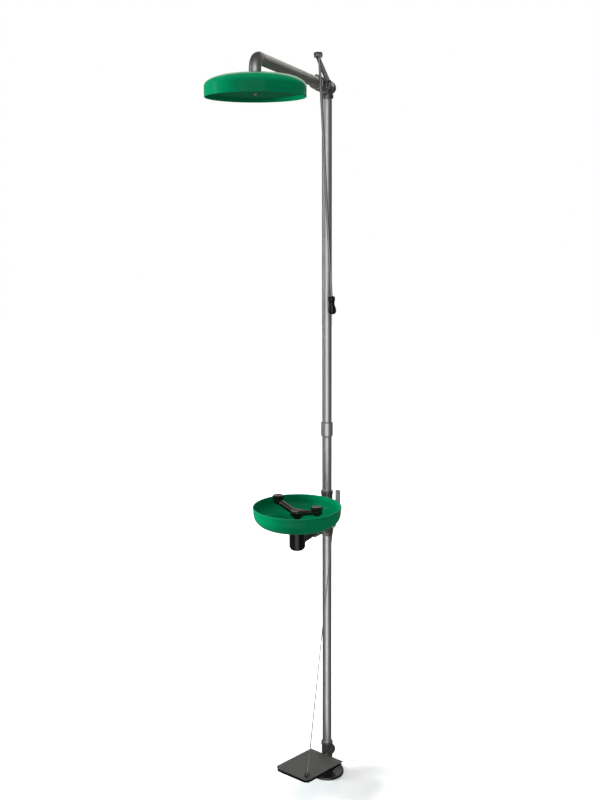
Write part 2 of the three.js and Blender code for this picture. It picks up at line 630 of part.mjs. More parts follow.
for (const [side, sign] of [["left", -1], ["right", 1]]) {
  const frame = yokeFrame.clone().multiply(new THREE.Matrix4().makeTranslation(sign * HEAD_SPACING, 0, 0));
  add(`spray_head_${side}`, sprayHead(), materials.black, frame);
  add(`dust_cap_${side}`, dustCap(), materials.black, frame);
}

// ---- Foot treadle ----

const HINGE_Y = -36;
const HINGE_Z = 80;
const TREADLE_SHIFT = 20;
const TREAD_WIDTH = 147;
const TREAD_LENGTH = 217;
const TREAD_REAR = 6;
const TREAD_UNDER = 7;
const PLATE = 2.5;
const FRONT_CORNER = 21;
const LUG_X = 53.5;
const LUG_Y = -184;
const LUG_Z = 19;

const treadleTurn = new THREE.Matrix4().makeRotationZ(TREADLE_YAW);
const treadleFrame = new THREE.Matrix4().makeTranslation(TREADLE_SHIFT, HINGE_Y, HINGE_Z)
  .premultiply(treadleTurn)
  .multiply(new THREE.Matrix4().makeRotationX(TREADLE_RISE));

// A plate outline with square rear corners and round front corners.
function treadOutline(width, rear, front, corner) {
  const half = width / 2;
  const shape = new THREE.Shape();
  shape.moveTo(-half, rear);
  shape.lineTo(-half, front + corner);
  shape.absarc(-half + corner, front + corner, corner, Math.PI, 1.5 * Math.PI);
  shape.absarc(half - corner, front + corner, corner, 1.5 * Math.PI, 2 * Math.PI);
  shape.lineTo(half, rear);
  shape.closePath();
  return shape;
}

function treadPlate() {
  const top = plate(treadOutline(TREAD_WIDTH, TREAD_REAR, TREAD_REAR - TREAD_LENGTH, FRONT_CORNER), PLATE)
    .translate(0, 0, TREAD_UNDER);
  const lug = box(3, 16, 16, LUG_X - 6, LUG_Y, TREAD_UNDER + PLATE + 7);
  const pin = aim(disc(2.2, 0, 13, 16), RIGHT, [LUG_X - 7, LUG_Y, LUG_Z]);
  const head = aim(disc(4, 0, 1.5, 16), RIGHT, [LUG_X + 6, LUG_Y, LUG_Z]);
  return join(top, lug, pin, head);
}
add("treadle_plate", treadPlate(), materials.tread, treadleFrame);

// The pan under the tread plate. Its ears hang on the hinge pin.
function treadPan() {
  const floor = plate(treadOutline(TREAD_WIDTH - 5, TREAD_REAR - 1, TREAD_REAR - TREAD_LENGTH + 3, FRONT_CORNER - 3), PLATE)
    .translate(0, 0, -3);
  const wallHeight = TREAD_UNDER - GAP + 1;
  const walls = [-1, 1].map((side) => box(PLATE, 165, wallHeight, side * 60, -90, wallHeight / 2 - 1));
  const ears = [-1, 1].map((side) => cut(
    join(box(4, 16, 6, side * 27, 0, -3), aim(disc(6, -2, 2, 16), RIGHT, [side * 27, 0, 0])),
    aim(disc(3 + GAP, -9, 9, 16), RIGHT, [side * 27, 0, 0]),
  ));
  const slot = box(54, 24, 12, 0, 0, -2);
  const pinSlot = box(70, 7, 5.6, 0, 0, -1.5);
  return join(cut(floor, slot, pinSlot), ...walls, ...ears);
}
add("treadle_pan", treadPan(), materials.tread, treadleFrame);

const hingeFrame = new THREE.Matrix4().makeTranslation(TREADLE_SHIFT, HINGE_Y, HINGE_Z).premultiply(treadleTurn);
add("hinge_pin", aim(disc(3, -33, 33, 20), RIGHT), materials.stainless, hingeFrame);

// A clamp in two halves around the base nipple. The front half carries the hinge.
const CLAMP_BOTTOM = HUB_TOP + 1.5;
const CLAMP_TOP = CLAMP_BOTTOM + 11;

function clampHalf(side) {
  const collar = ring(RISER_RADIUS + SOCKET_GAP, 23, CLAMP_BOTTOM, CLAMP_TOP);
  const ears = [-1, 1].map((x) => box(16, 8, CLAMP_TOP - CLAMP_BOTTOM, x * 29, side * 5, (CLAMP_BOTTOM + CLAMP_TOP) / 2));
  const half = box(100, 40, 60, 0, side * 21, 40);
  const boltHoles = [-1, 1].map((x) => aim(disc(3.4, -40, 40, 12), BACK, [x * 31, 0, (CLAMP_BOTTOM + CLAMP_TOP) / 2]));
  const bore = disc(RISER_RADIUS + SOCKET_GAP, 0, 99);
  return cut(keepInside(join(collar, ...ears), half), bore, ...boltHoles);
}

function hingeBracket() {
  const shelf = box(48, 24, 6, TREADLE_SHIFT, -34, CLAMP_BOTTOM + 3);
  const cheeks = [-1, 1].map((side) => {
    const x = TREADLE_SHIFT + side * 20;
    const web = box(4, 12, HINGE_Z - CLAMP_BOTTOM, x, HINGE_Y, (HINGE_Z + CLAMP_BOTTOM) / 2);
    return join(web, aim(disc(6, -2, 2, 16), RIGHT, [x, HINGE_Y, HINGE_Z]));
  });
  const pinHole = aim(disc(3 + GAP, -60, 60, 16), RIGHT, [TREADLE_SHIFT, HINGE_Y, HINGE_Z]);
  return cut(join(clampHalf(-1), shelf, ...cheeks), pinHole, disc(RISER_RADIUS + SOCKET_GAP, 0, 99));
}
add("hinge_bracket", hingeBracket(), materials.cast, treadleTurn);
add("bracket_clamp", clampHalf(1), materials.cast, treadleTurn);

// ---- Treadle rod ----

// A thin rod with an eye at each end, from the crank pin of the hand lever to the treadle lug.
// The upper eye is wide, because the pin travels on an arc and the rod stays nearly upright.
function treadleRod() {
  const pinY = CRANK_RADIUS * Math.cos(degrees(45));
  const top = new THREE.Vector3(HOOK_X, pinY, pinY).applyMatrix4(eyewashValveFrame);
  const bottom = new THREE.Vector3(LUG_X, LUG_Y, LUG_Z).applyMatrix4(treadleFrame);
  const along = bottom.clone().sub(top);
  const length = along.length();
  const wire = 1.6;
  const topEyeRadius = 12.6;
  const bottomEyeRadius = 6;
  const pinDirection = new THREE.Vector3(1, 0, 0).transformDirection(eyewashValveFrame);
  const lugDirection = new THREE.Vector3(1, 0, 0).transformDirection(treadleFrame);
  const topEye = aim(new THREE.TorusGeometry(topEyeRadius, wire, 6, 14), pinDirection.toArray(), top.toArray());
  const bottomEye = aim(new THREE.TorusGeometry(bottomEyeRadius, wire, 6, 14), lugDirection.toArray(), bottom.toArray());
  const shank = aim(disc(wire, topEyeRadius, length - bottomEyeRadius, 8), along.toArray(), top.toArray());
  const crimps = [topEyeRadius + 2, length - bottomEyeRadius - 16].map((from) => (
    aim(disc(3, from, from + 14, 8), along.toArray(), top.toArray())
  ));
  return join(shank, topEye, bottomEye, ...crimps);
}
add("treadle_rod", treadleRod(), materials.stainless);

export default group;
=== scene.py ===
"""Looks of the emergency shower and eyewash station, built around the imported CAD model.

Shapes are made in millimetres, in the same frame as the CAD, and turned into metres when a piece is
placed. A shape is a pair: a list of corners and a list of faces.
"""

import json
import math

import bmesh
import bpy
from mathutils import Matrix, Vector


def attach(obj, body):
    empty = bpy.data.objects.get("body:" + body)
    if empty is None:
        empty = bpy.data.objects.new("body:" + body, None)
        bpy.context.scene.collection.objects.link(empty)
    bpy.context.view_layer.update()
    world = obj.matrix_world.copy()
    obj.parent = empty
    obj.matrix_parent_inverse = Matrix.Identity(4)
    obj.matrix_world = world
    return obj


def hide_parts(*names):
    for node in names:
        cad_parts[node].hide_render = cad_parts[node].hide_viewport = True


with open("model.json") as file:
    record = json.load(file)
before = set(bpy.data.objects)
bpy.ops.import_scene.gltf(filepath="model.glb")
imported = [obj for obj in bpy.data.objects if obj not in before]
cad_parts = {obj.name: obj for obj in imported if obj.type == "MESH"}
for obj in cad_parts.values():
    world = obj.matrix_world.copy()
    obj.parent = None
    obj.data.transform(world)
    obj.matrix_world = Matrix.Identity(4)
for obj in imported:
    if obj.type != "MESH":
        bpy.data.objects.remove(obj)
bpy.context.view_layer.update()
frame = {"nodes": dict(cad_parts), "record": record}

MM = 0.001
ROUND = 64

# ---- Frames of the parts of the station, as in the CAD ----


def shift(x, y, z):
    return Matrix.Translation((x, y, z))


def turn(angle, axis):
    return Matrix.Rotation(math.radians(angle), 4, axis)


def along(direction):
    """Turns what was made along +Z to lie along a direction."""
    return Vector((0, 0, 1)).rotation_difference(Vector(direction)).to_matrix().to_4x4()


ARM_Z = 2472
HEAD_RIM_Z = 2368
BOWL_RIM_Z = 1097
EYEWASH_Z = 970
BASE_TEE_Z = 76
SHOWER_REACH = 705
BOWL_REACH = 230
SHOWER_VALVE_Y = -94
EYEWASH_VALVE_Y = -74

# The shower lever's tip, from the valve's stem.
LEVER_FORWARD = 130
LEVER_UP = 68
ROD_X = 38.2

# The treadle's hinge, and the pin of its lug as seen from that hinge.
HINGE_AT = (20, -36, 80)
LUG_PIN = (53.5, -184, 19)

# The hand lever's crank pin, behind and above its valve stem.
CRANK_ARM = 30
CRANK_ANGLE = 45
CRANK_OFFSET = 21.213

# Turns about the riser and tilts, in degrees.
SHOWER_YAW = 0.8
EYEWASH_YAW = -9.4
YOKE_YAW = -20
TREADLE_YAW = -19.8
TREADLE_RISE = -6.9
ROD_LEAN = 10.8

HERE = Matrix.Identity(4)
DOWN = along((0, 0, -1))
FRONT = along((0, -1, 0))
BACK = along((0, 1, 0))
RIGHT = along((1, 0, 0))

# Stands a flat plate on edge: its outline's x runs along Y, its y runs up, and it is thick along X.
ON_EDGE = turn(90, "Z") @ turn(90, "X")

SHOWER = turn(SHOWER_YAW, "Z")
SHOWER_BRANCH = SHOWER @ shift(0, 0, ARM_Z)
SHOWER_VALVE = SHOWER @ shift(0, SHOWER_VALVE_Y, ARM_Z)
HEAD = SHOWER @ shift(0, -SHOWER_REACH, HEAD_RIM_Z)
ROD_BOLT = SHOWER_VALVE @ shift(0, -LEVER_FORWARD, LEVER_UP)
ROD = ROD_BOLT @ shift(ROD_X, 0, 0) @ turn(ROD_LEAN, "X")
EYEWASH = turn(EYEWASH_YAW, "Z")
EYEWASH_BRANCH = EYEWASH @ shift(0, 0, EYEWASH_Z)
EYEWASH_VALVE = EYEWASH @ shift(0, EYEWASH_VALVE_Y, EYEWASH_Z)
BOWL = EYEWASH @ shift(0, -BOWL_REACH, BOWL_RIM_Z)
YOKE = BOWL @ turn(YOKE_YAW, "Z")
TREADLE_TURN = turn(TREADLE_YAW, "Z")
TREADLE_HINGE = TREADLE_TURN @ shift(*HINGE_AT)
TREADLE = TREADLE_HINGE @ turn(TREADLE_RISE, "X")

# ---- Shapes ----


def placed(shape, matrix):
    """The shape moved by a matrix."""
    corners, faces = shape
    return [tuple(matrix @ Vector(corner)) for corner in corners], faces


def together(*shapes):
    """Several shapes in one list, not joined."""
    corners, faces = [], []
    for more_corners, more_faces in shapes:
        start = len(corners)
        corners.extend(more_corners)
        faces.extend([start + i for i in face] for face in more_faces)
    return corners, faces


def soften(points, reach, steps=3, closed=False):
    """A line with its corners rounded, each over this reach."""
    result = []
    for i, point in enumerate(points):
        if not closed and i in (0, len(points) - 1):
            result.append(tuple(point))
            continue
        here = Vector(point)
        before = Vector(points[i - 1]) - here
        after = Vector(points[(i + 1) % len(points)]) - here
        cut = min(reach, 0.45 * before.length, 0.45 * after.length)
        start = here + before.normalized() * cut
        end = here + after.normalized() * cut
        for step in range(steps + 1):
            t = step / steps
            result.append(tuple(start * (1 - t) ** 2 + here * (2 * t * (1 - t)) + end * t * t))
    return result


def lathe(profile, segments=ROUND):
    """A body of revolution about +Z through [radius, height] points."""
    corners, rows = [], []
    for radius, height in profile:
        if radius == 0:
            rows.append([len(corners)] * segments)
            corners.append((0, 0, height))
            continue
        rows.append(range(len(corners), len(corners) + segments))
        for i in range(segments):
            angle = 2 * math.pi * i / segments
            corners.append((radius * math.sin(angle), -radius * math.cos(angle), height))
    pairs = list(zip(rows, rows[1:]))
    if profile[0][0] > 0 or profile[-1][0] > 0:
        pairs.append((rows[-1], rows[0]))
    faces = []
    for low, high in pairs:
        for i in range(segments):
            j = (i + 1) % segments
            face = list(dict.fromkeys([low[i], low[j], high[j], high[i]]))
            if len(face) > 2:
                faces.append(face)
    return corners, faces


def disc(radius, bottom, top, segments=ROUND):
    return lathe([(0, bottom), (radius, bottom), (radius, top), (0, top)], segments)


def ring(inner, outer, bottom, top, reach=0.6):
    """A washer with softened edges."""
    profile = [(inner, bottom), (outer, bottom), (outer, top), (inner, top)]
    return lathe(soften(profile, reach, closed=True))


def slab(outline, thickness, holes=()):
    """A flat plate with this outline, from z = 0 up. Each hole is a loop of points."""
    mesh = bmesh.new()
    for loop in (outline, *holes):
        made = [mesh.verts.new((x, y, 0)) for x, y in loop]
        for i, corner in enumerate(made):
            mesh.edges.new((corner, made[(i + 1) % len(made)]))
    bmesh.ops.triangle_fill(mesh, edges=mesh.edges[:], use_beauty=True)
    raised = bmesh.ops.extrude_face_region(mesh, geom=mesh.faces[:])
    top = [item for item in raised["geom"] if isinstance(item, bmesh.types.BMVert)]
    bmesh.ops.translate(mesh, vec=(0, 0, thickness), verts=top)
    return read(mesh)


def read(mesh):
    """The shape in a bmesh, which is freed."""
    mesh.verts.index_update()
    corners = [tuple(v.co) for v in mesh.verts]
    faces = [[v.index for v in face.verts] for face in mesh.faces]
    mesh.free()
    return corners, faces


def circle(radius, x=0.0, y=0.0, count=24):
    angles = [2 * math.pi * i / count for i in range(count)]
    return [(x + radius * math.cos(a), y + radius * math.sin(a)) for a in angles]


def arc(centre, radius, start, end, count):
    """Points on an arc between two angles in degrees."""
    points = []
    for i in range(count + 1):
        angle = math.radians(start + (end - start) * i / count)
        points.append((centre[0] + radius * math.cos(angle), centre[1] + radius * math.sin(angle)))
    return points


def sweep(section, path, side=(1, 0, 0), closed=False):
    """A bar with this cross-section along a path. The section's first axis stays near one side."""
    corners = []
    path = [Vector(point) for point in path]
    count = len(path)
    for i, point in enumerate(path):
        ahead = path[(i + 1) % count] if closed or i + 1 < count else point
        behind = path[i - 1] if closed or i > 0 else point
        forward = (ahead - behind).normalized()
        up = forward.cross(Vector(side)).normalized()
        across = up.cross(forward)
        corners.extend(tuple(point + across * a + up * b) for a, b in section)
    size = len(section)
    faces = []
    for i in range(count if closed else count - 1):
        low, high = i * size, (i + 1) % count * size
        for j in range(size):
            k = (j + 1) % size
            faces.append([low + j, low + k, high + k, high + j])
    if not closed:
        faces.append(list(range(size)))
        faces.append([(count - 1) * size + j for j in range(size)])
    return corners, faces


def torus(radius, wire, count):
    """An eye of round wire that stands in the YZ plane."""
    path = [(0, y, z) for y, z in circle(radius, count=count)]
    return sweep(circle(wire, count=12), path, closed=True)


# ---- Modifiers, run at once ----


def to_object(shape, name="scratch"):
    """A scratch object in millimetres, with its faces turned outwards."""
    data = bpy.data.meshes.new(name)
    data.from_pydata(shape[0], [], shape[1])
    mesh = bmesh.new()
    mesh.from_mesh(data)
    bmesh.ops.remove_doubles(mesh, verts=mesh.verts[:], dist=1e-4)
    bmesh.ops.recalc_face_normals(mesh, faces=mesh.faces[:])
    mesh.to_mesh(data)
    mesh.free()
    obj = bpy.data.objects.new(name, data)
    bpy.context.scene.collection.objects.link(obj)
    return obj


def drop(obj):
    data = obj.data
    bpy.data.objects.remove(obj)
    bpy.data.meshes.remove(data)


def evaluated(obj):
    """The shape of an object with its modifiers. The object is removed."""
    data = bpy.data.meshes.new_from_object(obj.evaluated_get(bpy.context.evaluated_depsgraph_get()))
    mesh = bmesh.new()
    mesh.from_mesh(data)
    bpy.data.meshes.remove(data)
    drop(obj)
    return read(mesh)


def modified(shape, kind, **settings):
    obj = to_object(shape)
    modifier = obj.modifiers.new("change", kind)
    for key, value in settings.items():
        setattr(modifier, key, value)
    return evaluated(obj)


def combined(operation, base, tools):
    obj = to_object(base)
    others = [to_object(tool) for tool in tools]
    for other in others:
        modifier = obj.modifiers.new("combine", "BOOLEAN")
        modifier.operation = operation
        modifier.solver = "EXACT"
        modifier.object = other
    shape = evaluated(obj)
    for other in others:
        drop(other)
    return shape


def union(base, *tools):
    return combined("UNION", base, tools)


def cut(base, *tools):
    return combined("DIFFERENCE", base, tools)


def common(base, *tools):
    return combined("INTERSECT", base, tools)


def bevelled(shape, width, segments=2, angle=40):
    return modified(
        shape, "BEVEL", width=width, segments=segments, limit_method="ANGLE",
        angle_limit=math.radians(angle), use_clamp_overlap=True,
    )


def cast_together(grain, *shapes):
    """Shapes melted into one skin with small fillets, as in a casting."""
    skin = modified(together(*shapes), "REMESH", mode="VOXEL", voxel_size=grain)
    return modified(skin, "SMOOTH", factor=0.5, iterations=6)


# ---- Materials ----


class Recipe:
    """A node material on one Principled shader."""

    def __init__(self, name):
        self.material = bpy.data.materials.new(name)
        self.material.use_nodes = True
        self.nodes = self.material.node_tree.nodes
        self.links = self.material.node_tree.links
        self.shader = next(node for node in self.nodes if node.type == "BSDF_PRINCIPLED")
        self.place = self.nodes.new("ShaderNodeTexCoord").outputs["Object"]

    def noise(self, scale, stretch=(1, 1, 1), detail=4.0, roughness=0.55):
        """Noise of about 1 / scale metres, drawn out along an axis by a small stretch factor."""
        mapping = self.nodes.new("ShaderNodeMapping")
        mapping.inputs["Scale"].default_value = stretch
        self.links.new(self.place, mapping.inputs["Vector"])
        noise = self.nodes.new("ShaderNodeTexNoise")
        noise.inputs["Scale"].default_value = scale
        noise.inputs["Detail"].default_value = detail
        noise.inputs["Roughness"].default_value = roughness
        self.links.new(mapping.outputs["Vector"], noise.inputs["Vector"])
        return noise.outputs["Fac"]

    def span(self, value, low, high, start=0.3, end=0.7):
        """The value's range from start to end, mapped to low and high."""
        spread = self.nodes.new("ShaderNodeMapRange")
        spread.inputs["From Min"].default_value = start
        spread.inputs["From Max"].default_value = end
        spread.inputs["To Min"].default_value = low
        spread.inputs["To Max"].default_value = high
        self.links.new(value, spread.inputs["Value"])
        return spread.outputs["Result"]

    def colour(self, value, first, second):
        mix = self.nodes.new("ShaderNodeMix")
        mix.data_type = "RGBA"
        mix.inputs["A"].default_value = (*first, 1)
        mix.inputs["B"].default_value = (*second, 1)
        self.links.new(self.span(value, 0, 1), mix.inputs["Factor"])
        self.links.new(mix.outputs["Result"], self.shader.inputs["Base Color"])

    def roughness(self, value, low, high):
        self.links.new(self.span(value, low, high), self.shader.inputs["Roughness"])

    def bump(self, value, height, strength=1.0):
        bump = self.nodes.new("ShaderNodeBump")
        bump.inputs["Distance"].default_value = height
        bump.inputs["Strength"].default_value = strength
        self.links.new(value, bump.inputs["Height"])
        self.links.new(bump.outputs["Normal"], self.shader.inputs["Normal"])

    def glow_away(self, near, far, low, high):
        """A glow that grows between two distances, in metres, from the object's origin."""
        length = self.nodes.new("ShaderNodeVectorMath")
        length.operation = "LENGTH"
        self.links.new(self.place, length.inputs[0])
        glow = self.span(length.outputs["Value"], low, high, near, far)
        self.links.new(glow, self.shader.inputs["Emission Strength"])

    def constant(self, **values):
        for name, value in values.items():
            self.shader.inputs[name.replace("_", " ")].default_value = value
        return self.material


def drawn_steel(name, stretch, dark=(0.60, 0.585, 0.58), light=(0.70, 0.685, 0.675)):
    """Satin pipe, with fine drawing lines along its length and faint smudges."""
    recipe = Recipe(name)
    recipe.colour(recipe.noise(22, stretch), dark, light)
    recipe.roughness(recipe.noise(260, stretch, 5), 0.42, 0.52)
    recipe.bump(recipe.noise(900, stretch, 3), 0.00001, 0.4)
    return recipe.constant(Metallic=1.0)


def cast_steel(name, dark, light, low, high, metallic=0.9):
    """Grained metal between two colours and two roughnesses."""
    recipe = Recipe(name)
    recipe.colour(recipe.noise(60), dark, light)
    recipe.roughness(recipe.noise(190), low, high)
    recipe.bump(recipe.noise(520, detail=6), 0.00015, 0.5)
    return recipe.constant(Metallic=metallic)


def moulded_green(name, dark, light, low, high, specular):
    """Green moulding between two colours and two roughnesses."""
    recipe = Recipe(name)
    recipe.colour(recipe.noise(9), dark, light)
    recipe.roughness(recipe.noise(40), low, high)
    recipe.bump(recipe.noise(95, detail=2), 0.00008, 0.3)
    return recipe.constant(Metallic=0.0, IOR=1.45, Specular_IOR_Level=specular)


def moulded_black():
    recipe = Recipe("moulded_black")
    recipe.colour(recipe.noise(30), (0.003, 0.003, 0.003), (0.007, 0.006, 0.006))
    recipe.roughness(recipe.noise(120), 0.12, 0.22)
    recipe.bump(recipe.noise(300, detail=2), 0.00005, 0.3)
    return recipe.constant(Metallic=0.0, IOR=1.5, Specular_IOR_Level=0.35)


def black_with_painted_top_sheen():
    """Black moulding whose level faces are painted a warm grey, as a painted reflection of the light
    from above.
    """
    recipe = Recipe("black_with_painted_top_sheen")
    normal = recipe.nodes.new("ShaderNodeNewGeometry").outputs["Normal"]
    split = recipe.nodes.new("ShaderNodeSeparateXYZ")
    recipe.links.new(normal, split.inputs["Vector"])
    # Painted reflection: faces that point up get a warm grey base colour in place of the light they
    # would mirror.
    level = recipe.span(split.outputs["Z"], 0, 1, 0.75, 0.95)
    recipe.colour(level, (0.004, 0.004, 0.004), (0.05, 0.040, 0.032))
    recipe.roughness(recipe.noise(160), 0.14, 0.30)
    recipe.bump(recipe.noise(300, detail=2), 0.00005, 0.3)
    return recipe.constant(Metallic=0.0, IOR=1.5, Specular_IOR_Level=0.5)


def coated_black():
    recipe = Recipe("coated_black")
    recipe.colour(recipe.noise(30), (0.018, 0.017, 0.018), (0.03, 0.028, 0.028))
    recipe.roughness(recipe.noise(150), 0.3, 0.45)
    recipe.bump(recipe.noise(700, detail=4), 0.00006, 0.5)
    return recipe.constant(Metallic=0.0)


def brushed_tread(name, dark, light):
    """Brushed plate with its lines across the tread."""
    recipe = Recipe(name)
    recipe.place = tread_place(recipe)
    recipe.colour(recipe.noise(260, (0.03, 1, 1), 5), dark, light)
    recipe.roughness(recipe.noise(420, (0.02, 1, 1), 4), 0.34, 0.52)
    recipe.bump(recipe.noise(900, (0.02, 1, 1), 3), 0.00003, 0.6)
    return recipe.constant(Metallic=0.8)


def tread_place(recipe):
    """Object coordinates turned with the treadle, so that the brushing follows the plate."""
    mapping = recipe.nodes.new("ShaderNodeMapping")
    mapping.inputs["Rotation"].default_value = (0, 0, math.radians(-TREADLE_YAW))
    recipe.links.new(recipe.place, mapping.inputs["Vector"])
    return mapping.outputs["Vector"]


def red_fibre():
    recipe = Recipe("red_fibre")
    recipe.colour(recipe.noise(500), (0.16, 0.06, 0.045), (0.26, 0.12, 0.09))
    recipe.roughness(recipe.noise(300), 0.7, 0.9)
    recipe.bump(recipe.noise(1500), 0.0001)
    return recipe.constant(Metallic=0.0)


def white_seal():
    recipe = Recipe("white_seal")
    recipe.colour(recipe.noise(200), (0.70, 0.69, 0.64), (0.80, 0.79, 0.75))
    recipe.roughness(recipe.noise(300), 0.4, 0.6)
    return recipe.constant(Metallic=0.0)


UPRIGHT = (1, 1, 0.02)
FORWARD = (1, 0.02, 1)
EVEN = (1, 1, 1)

riser_steel = drawn_steel("riser_steel", UPRIGHT)
arm_steel = drawn_steel("arm_steel", FORWARD, (0.42, 0.42, 0.415), (0.52, 0.515, 0.51))
part_steel = drawn_steel("part_steel", EVEN, (0.30, 0.30, 0.30), (0.44, 0.43, 0.425))
dark_steel = drawn_steel("dark_steel", UPRIGHT, (0.26, 0.26, 0.26), (0.38, 0.375, 0.375))
lever_steel = cast_steel("lever_steel", (0.34, 0.33, 0.35), (0.46, 0.45, 0.47), 0.4, 0.55, 0.3)
rod_steel = cast_steel("rod_steel", (0.17, 0.16, 0.16), (0.23, 0.22, 0.22), 0.4, 0.55, 0.5)
tee_cast = cast_steel("tee_cast", (0.16, 0.158, 0.156), (0.27, 0.265, 0.26), 0.3, 0.45)
flange_cast = cast_steel("flange_cast", (0.06, 0.06, 0.061), (0.11, 0.11, 0.112), 0.26, 0.38)
green = moulded_green("moulded_green", (0, 0.185, 0.075), (0, 0.205, 0.086), 0.16, 0.24, 0.06)
# A darker copy of the moulded green: painted shade for the spreader plate under the head.
green_with_painted_shade = moulded_green("green_with_painted_shade", (0, 0.110, 0.042), (0, 0.125, 0.050), 0.75, 0.90, 0.05)
black = moulded_black()
# Black with a painted warm sheen on its upward faces, for the yoke and the dust caps.
painted_sheen_black = black_with_painted_top_sheen()
black_coat = coated_black()
tread_top = brushed_tread("tread_top", (0.13, 0.134, 0.122), (0.20, 0.20, 0.188))
# A near-black copy of the tread steel: painted shade for the pan, hinge bracket and clamp under the
# tread.
tread_with_painted_shade = brushed_tread("tread_with_painted_shade", (0.02, 0.02, 0.018), (0.045, 0.045, 0.04))
fibre = red_fibre()
seal = white_seal()

# ---- Pieces ----


def piece(name, shape, matrix, material, body, nodes, sharp=32):
    """Places a shape as a piece that rides on a body and stands for these CAD nodes."""
    obj = to_object(placed(shape, matrix), name)
    obj.data.transform(Matrix.Scale(MM, 4))
    mesh = bmesh.new()
    mesh.from_mesh(obj.data)
    for face in mesh.faces:
        face.smooth = True
    for edge in mesh.edges:
        edge.smooth = len(edge.link_faces) == 2 and edge.calc_face_angle(0) < math.radians(sharp)
    mesh.to_mesh(obj.data)
    mesh.free()
    obj.data.materials.append(material)
    weights = obj.modifiers.new("even_shading", "WEIGHTED_NORMAL")
    weights.keep_sharp = True
    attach(obj, body)
    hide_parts(*nodes)
    return obj


# CAD nodes that stay as they are, mostly inside the valves.
KEPT = {
    "stainless": part_steel,
    "cast_steel": tee_cast,
    "tread_steel": tread_top,
    "green_plastic": green,
    "black_plastic": black,
    "black_pipe": black_coat,
    "seal": seal,
    "fibre": fibre,
}
node_slots = {}
for entry in frame["record"]["materials"]:
    for node in entry.get("nodes", []):
        node_slots[node] = entry["slot"]
for name, node in frame["nodes"].items():
    node.data.materials.clear()
    node.data.materials.append(KEPT[node_slots.get(name, "stainless")])


# ---- Piping ----

# Outer radius and bore radius of the one inch and the three-quarter inch pipe.
RISER = 16.7
RISER_BORE = 13.3
SUPPLY = 13.35
SUPPLY_BORE = 10.4
THREAD_PITCH = 2.2
THREAD_DEPTH = 0.75
THREADS_SHOWN = 3


def pipe(radius, bore, start, end, mouths=()):
    """A pipe along +Z. Its thread runs out of each fitting's mouth for a few millimetres."""
    outer = [(radius, start), (radius, end)]
    for mouth, outward in mouths:
        for i in range(THREADS_SHOWN):
            z = mouth + outward * (0.4 + i * THREAD_PITCH)
            depth = THREAD_DEPTH * (1 - i / THREADS_SHOWN)
            outer += [(radius, z), (radius - depth, z + outward * 0.4 * THREAD_PITCH)]
            outer.append((radius, z + outward * 0.8 * THREAD_PITCH))
    outer.sort(key=lambda point: point[1])
    return lathe([(bore, start), *outer, (bore, end)])


def nut(flats, bottom, top, hole=0.0, chamfer=0.12):
    """A hexagon nut or head along +Z, with its corners turned off at both ends."""
    corner = flats / math.sqrt(3)
    drop_height = corner * chamfer
    prism = disc(corner, bottom, top, 6)
    turned = lathe([
        (0, bottom), (flats * 0.49, bottom), (corner * 1.01, bottom + drop_height),
        (corner * 1.01, top - drop_height), (flats * 0.49, top), (0, top),
    ])
    shape = common(prism, turned)
    return cut(shape, disc(hole, bottom - 1, top + 1)) if hole else shape


def branch_body(length, pipe_radius):
    """One branch of a tee, with a bead round its mouth."""
    wall = pipe_radius + 3.1
    bead = wall + 1.7
    return lathe(soften([
        (0, 0), (wall, 0), (wall, length - 13.6), (bead, length - 12.2), (bead, length - 1.0),
        (bead - 1.2, length), (0, length),
    ], 1.4))


def tee(branches):
    """A malleable tee: each branch is (turn of the branch, length, pipe radius)."""
    bodies = [placed(branch_body(length, radius), aim) for aim, length, radius in branches]
    core = lathe([(0, -20), *arc((0, 0), 20, -80, 80, 16), (0, 20)])
    skin = cast_together(1.0, core, *bodies)
    bores = [
        placed(lathe([
            (0, length - 14), (radius + 0.5, length - 14), (radius + 0.5, length - 1.2),
            (radius + 1.7, length + 1), (0, length + 1),
        ]), aim)
        for aim, length, radius in branches
    ]
    return cut(skin, *bores)


def plug():
    """A square-head plug; its socket's mouth is at z = 0."""
    thread = lathe(soften([(0, -12), (15.7, -12), (RISER, -11), (RISER, 2.5), (0, 2.5)], 0.5))
    half = 7.5
    square = [(-half, -half), (half, -half), (half, half), (-half, half)]
    head = bevelled(placed(slab(square, 12), shift(0, 0, 1.5)), 1.3)
    return union(thread, head)


def flange():
    """A round flange with a raised rim, a hub and four counterbored holes."""
    body = lathe(soften([
        (0, 0), (62.5, 0), (62.5, 8), (60.5, 10), (57, 10.4), (55.6, 9.0), (39, 9.7), (37.6, 11.2),
        (30, 12), (25, 16), (23.5, 25), (22.6, 26), (0, 26),
    ], 1.6, 4), 96)
    tools = [disc(RISER + 0.5, 4, 40)]
    for angle in (45, 135, 225, 315):
        at = math.radians(angle)
        hole = lathe([(0, -1), (5.5, -1), (5.5, 8.6), (6.6, 10.6), (6.6, 14), (0, 14)], 32)
        tools.append(placed(hole, shift(47 * math.cos(at), 47 * math.sin(at), 0)))
    return cut(body, *tools)


piece("floor_flange_casting", flange(), HERE, flange_cast, "station", ["floor_flange"])
piece("base_pipe", pipe(RISER, RISER_BORE, 5, 53, [(26, 1), (40, -1)]), HERE, riser_steel,
      "station", ["base_nipple"])
base_tee = tee([(DOWN, 36, RISER), (HERE, 50.5, RISER), (BACK, 40, RISER)])
piece("base_tee_casting", base_tee, shift(0, 0, BASE_TEE_Z), tee_cast, "station",
      ["base_tee"], 50)
piece("base_plug", plug(), shift(0, 40, BASE_TEE_Z) @ BACK, tee_cast, "station",
      ["base_tee_plug"])
piece("riser_lower", pipe(RISER, RISER_BORE, 113.5, 945, [(126.5, 1), (932, -1)]), HERE,
      riser_steel, "station", ["lower_riser"])

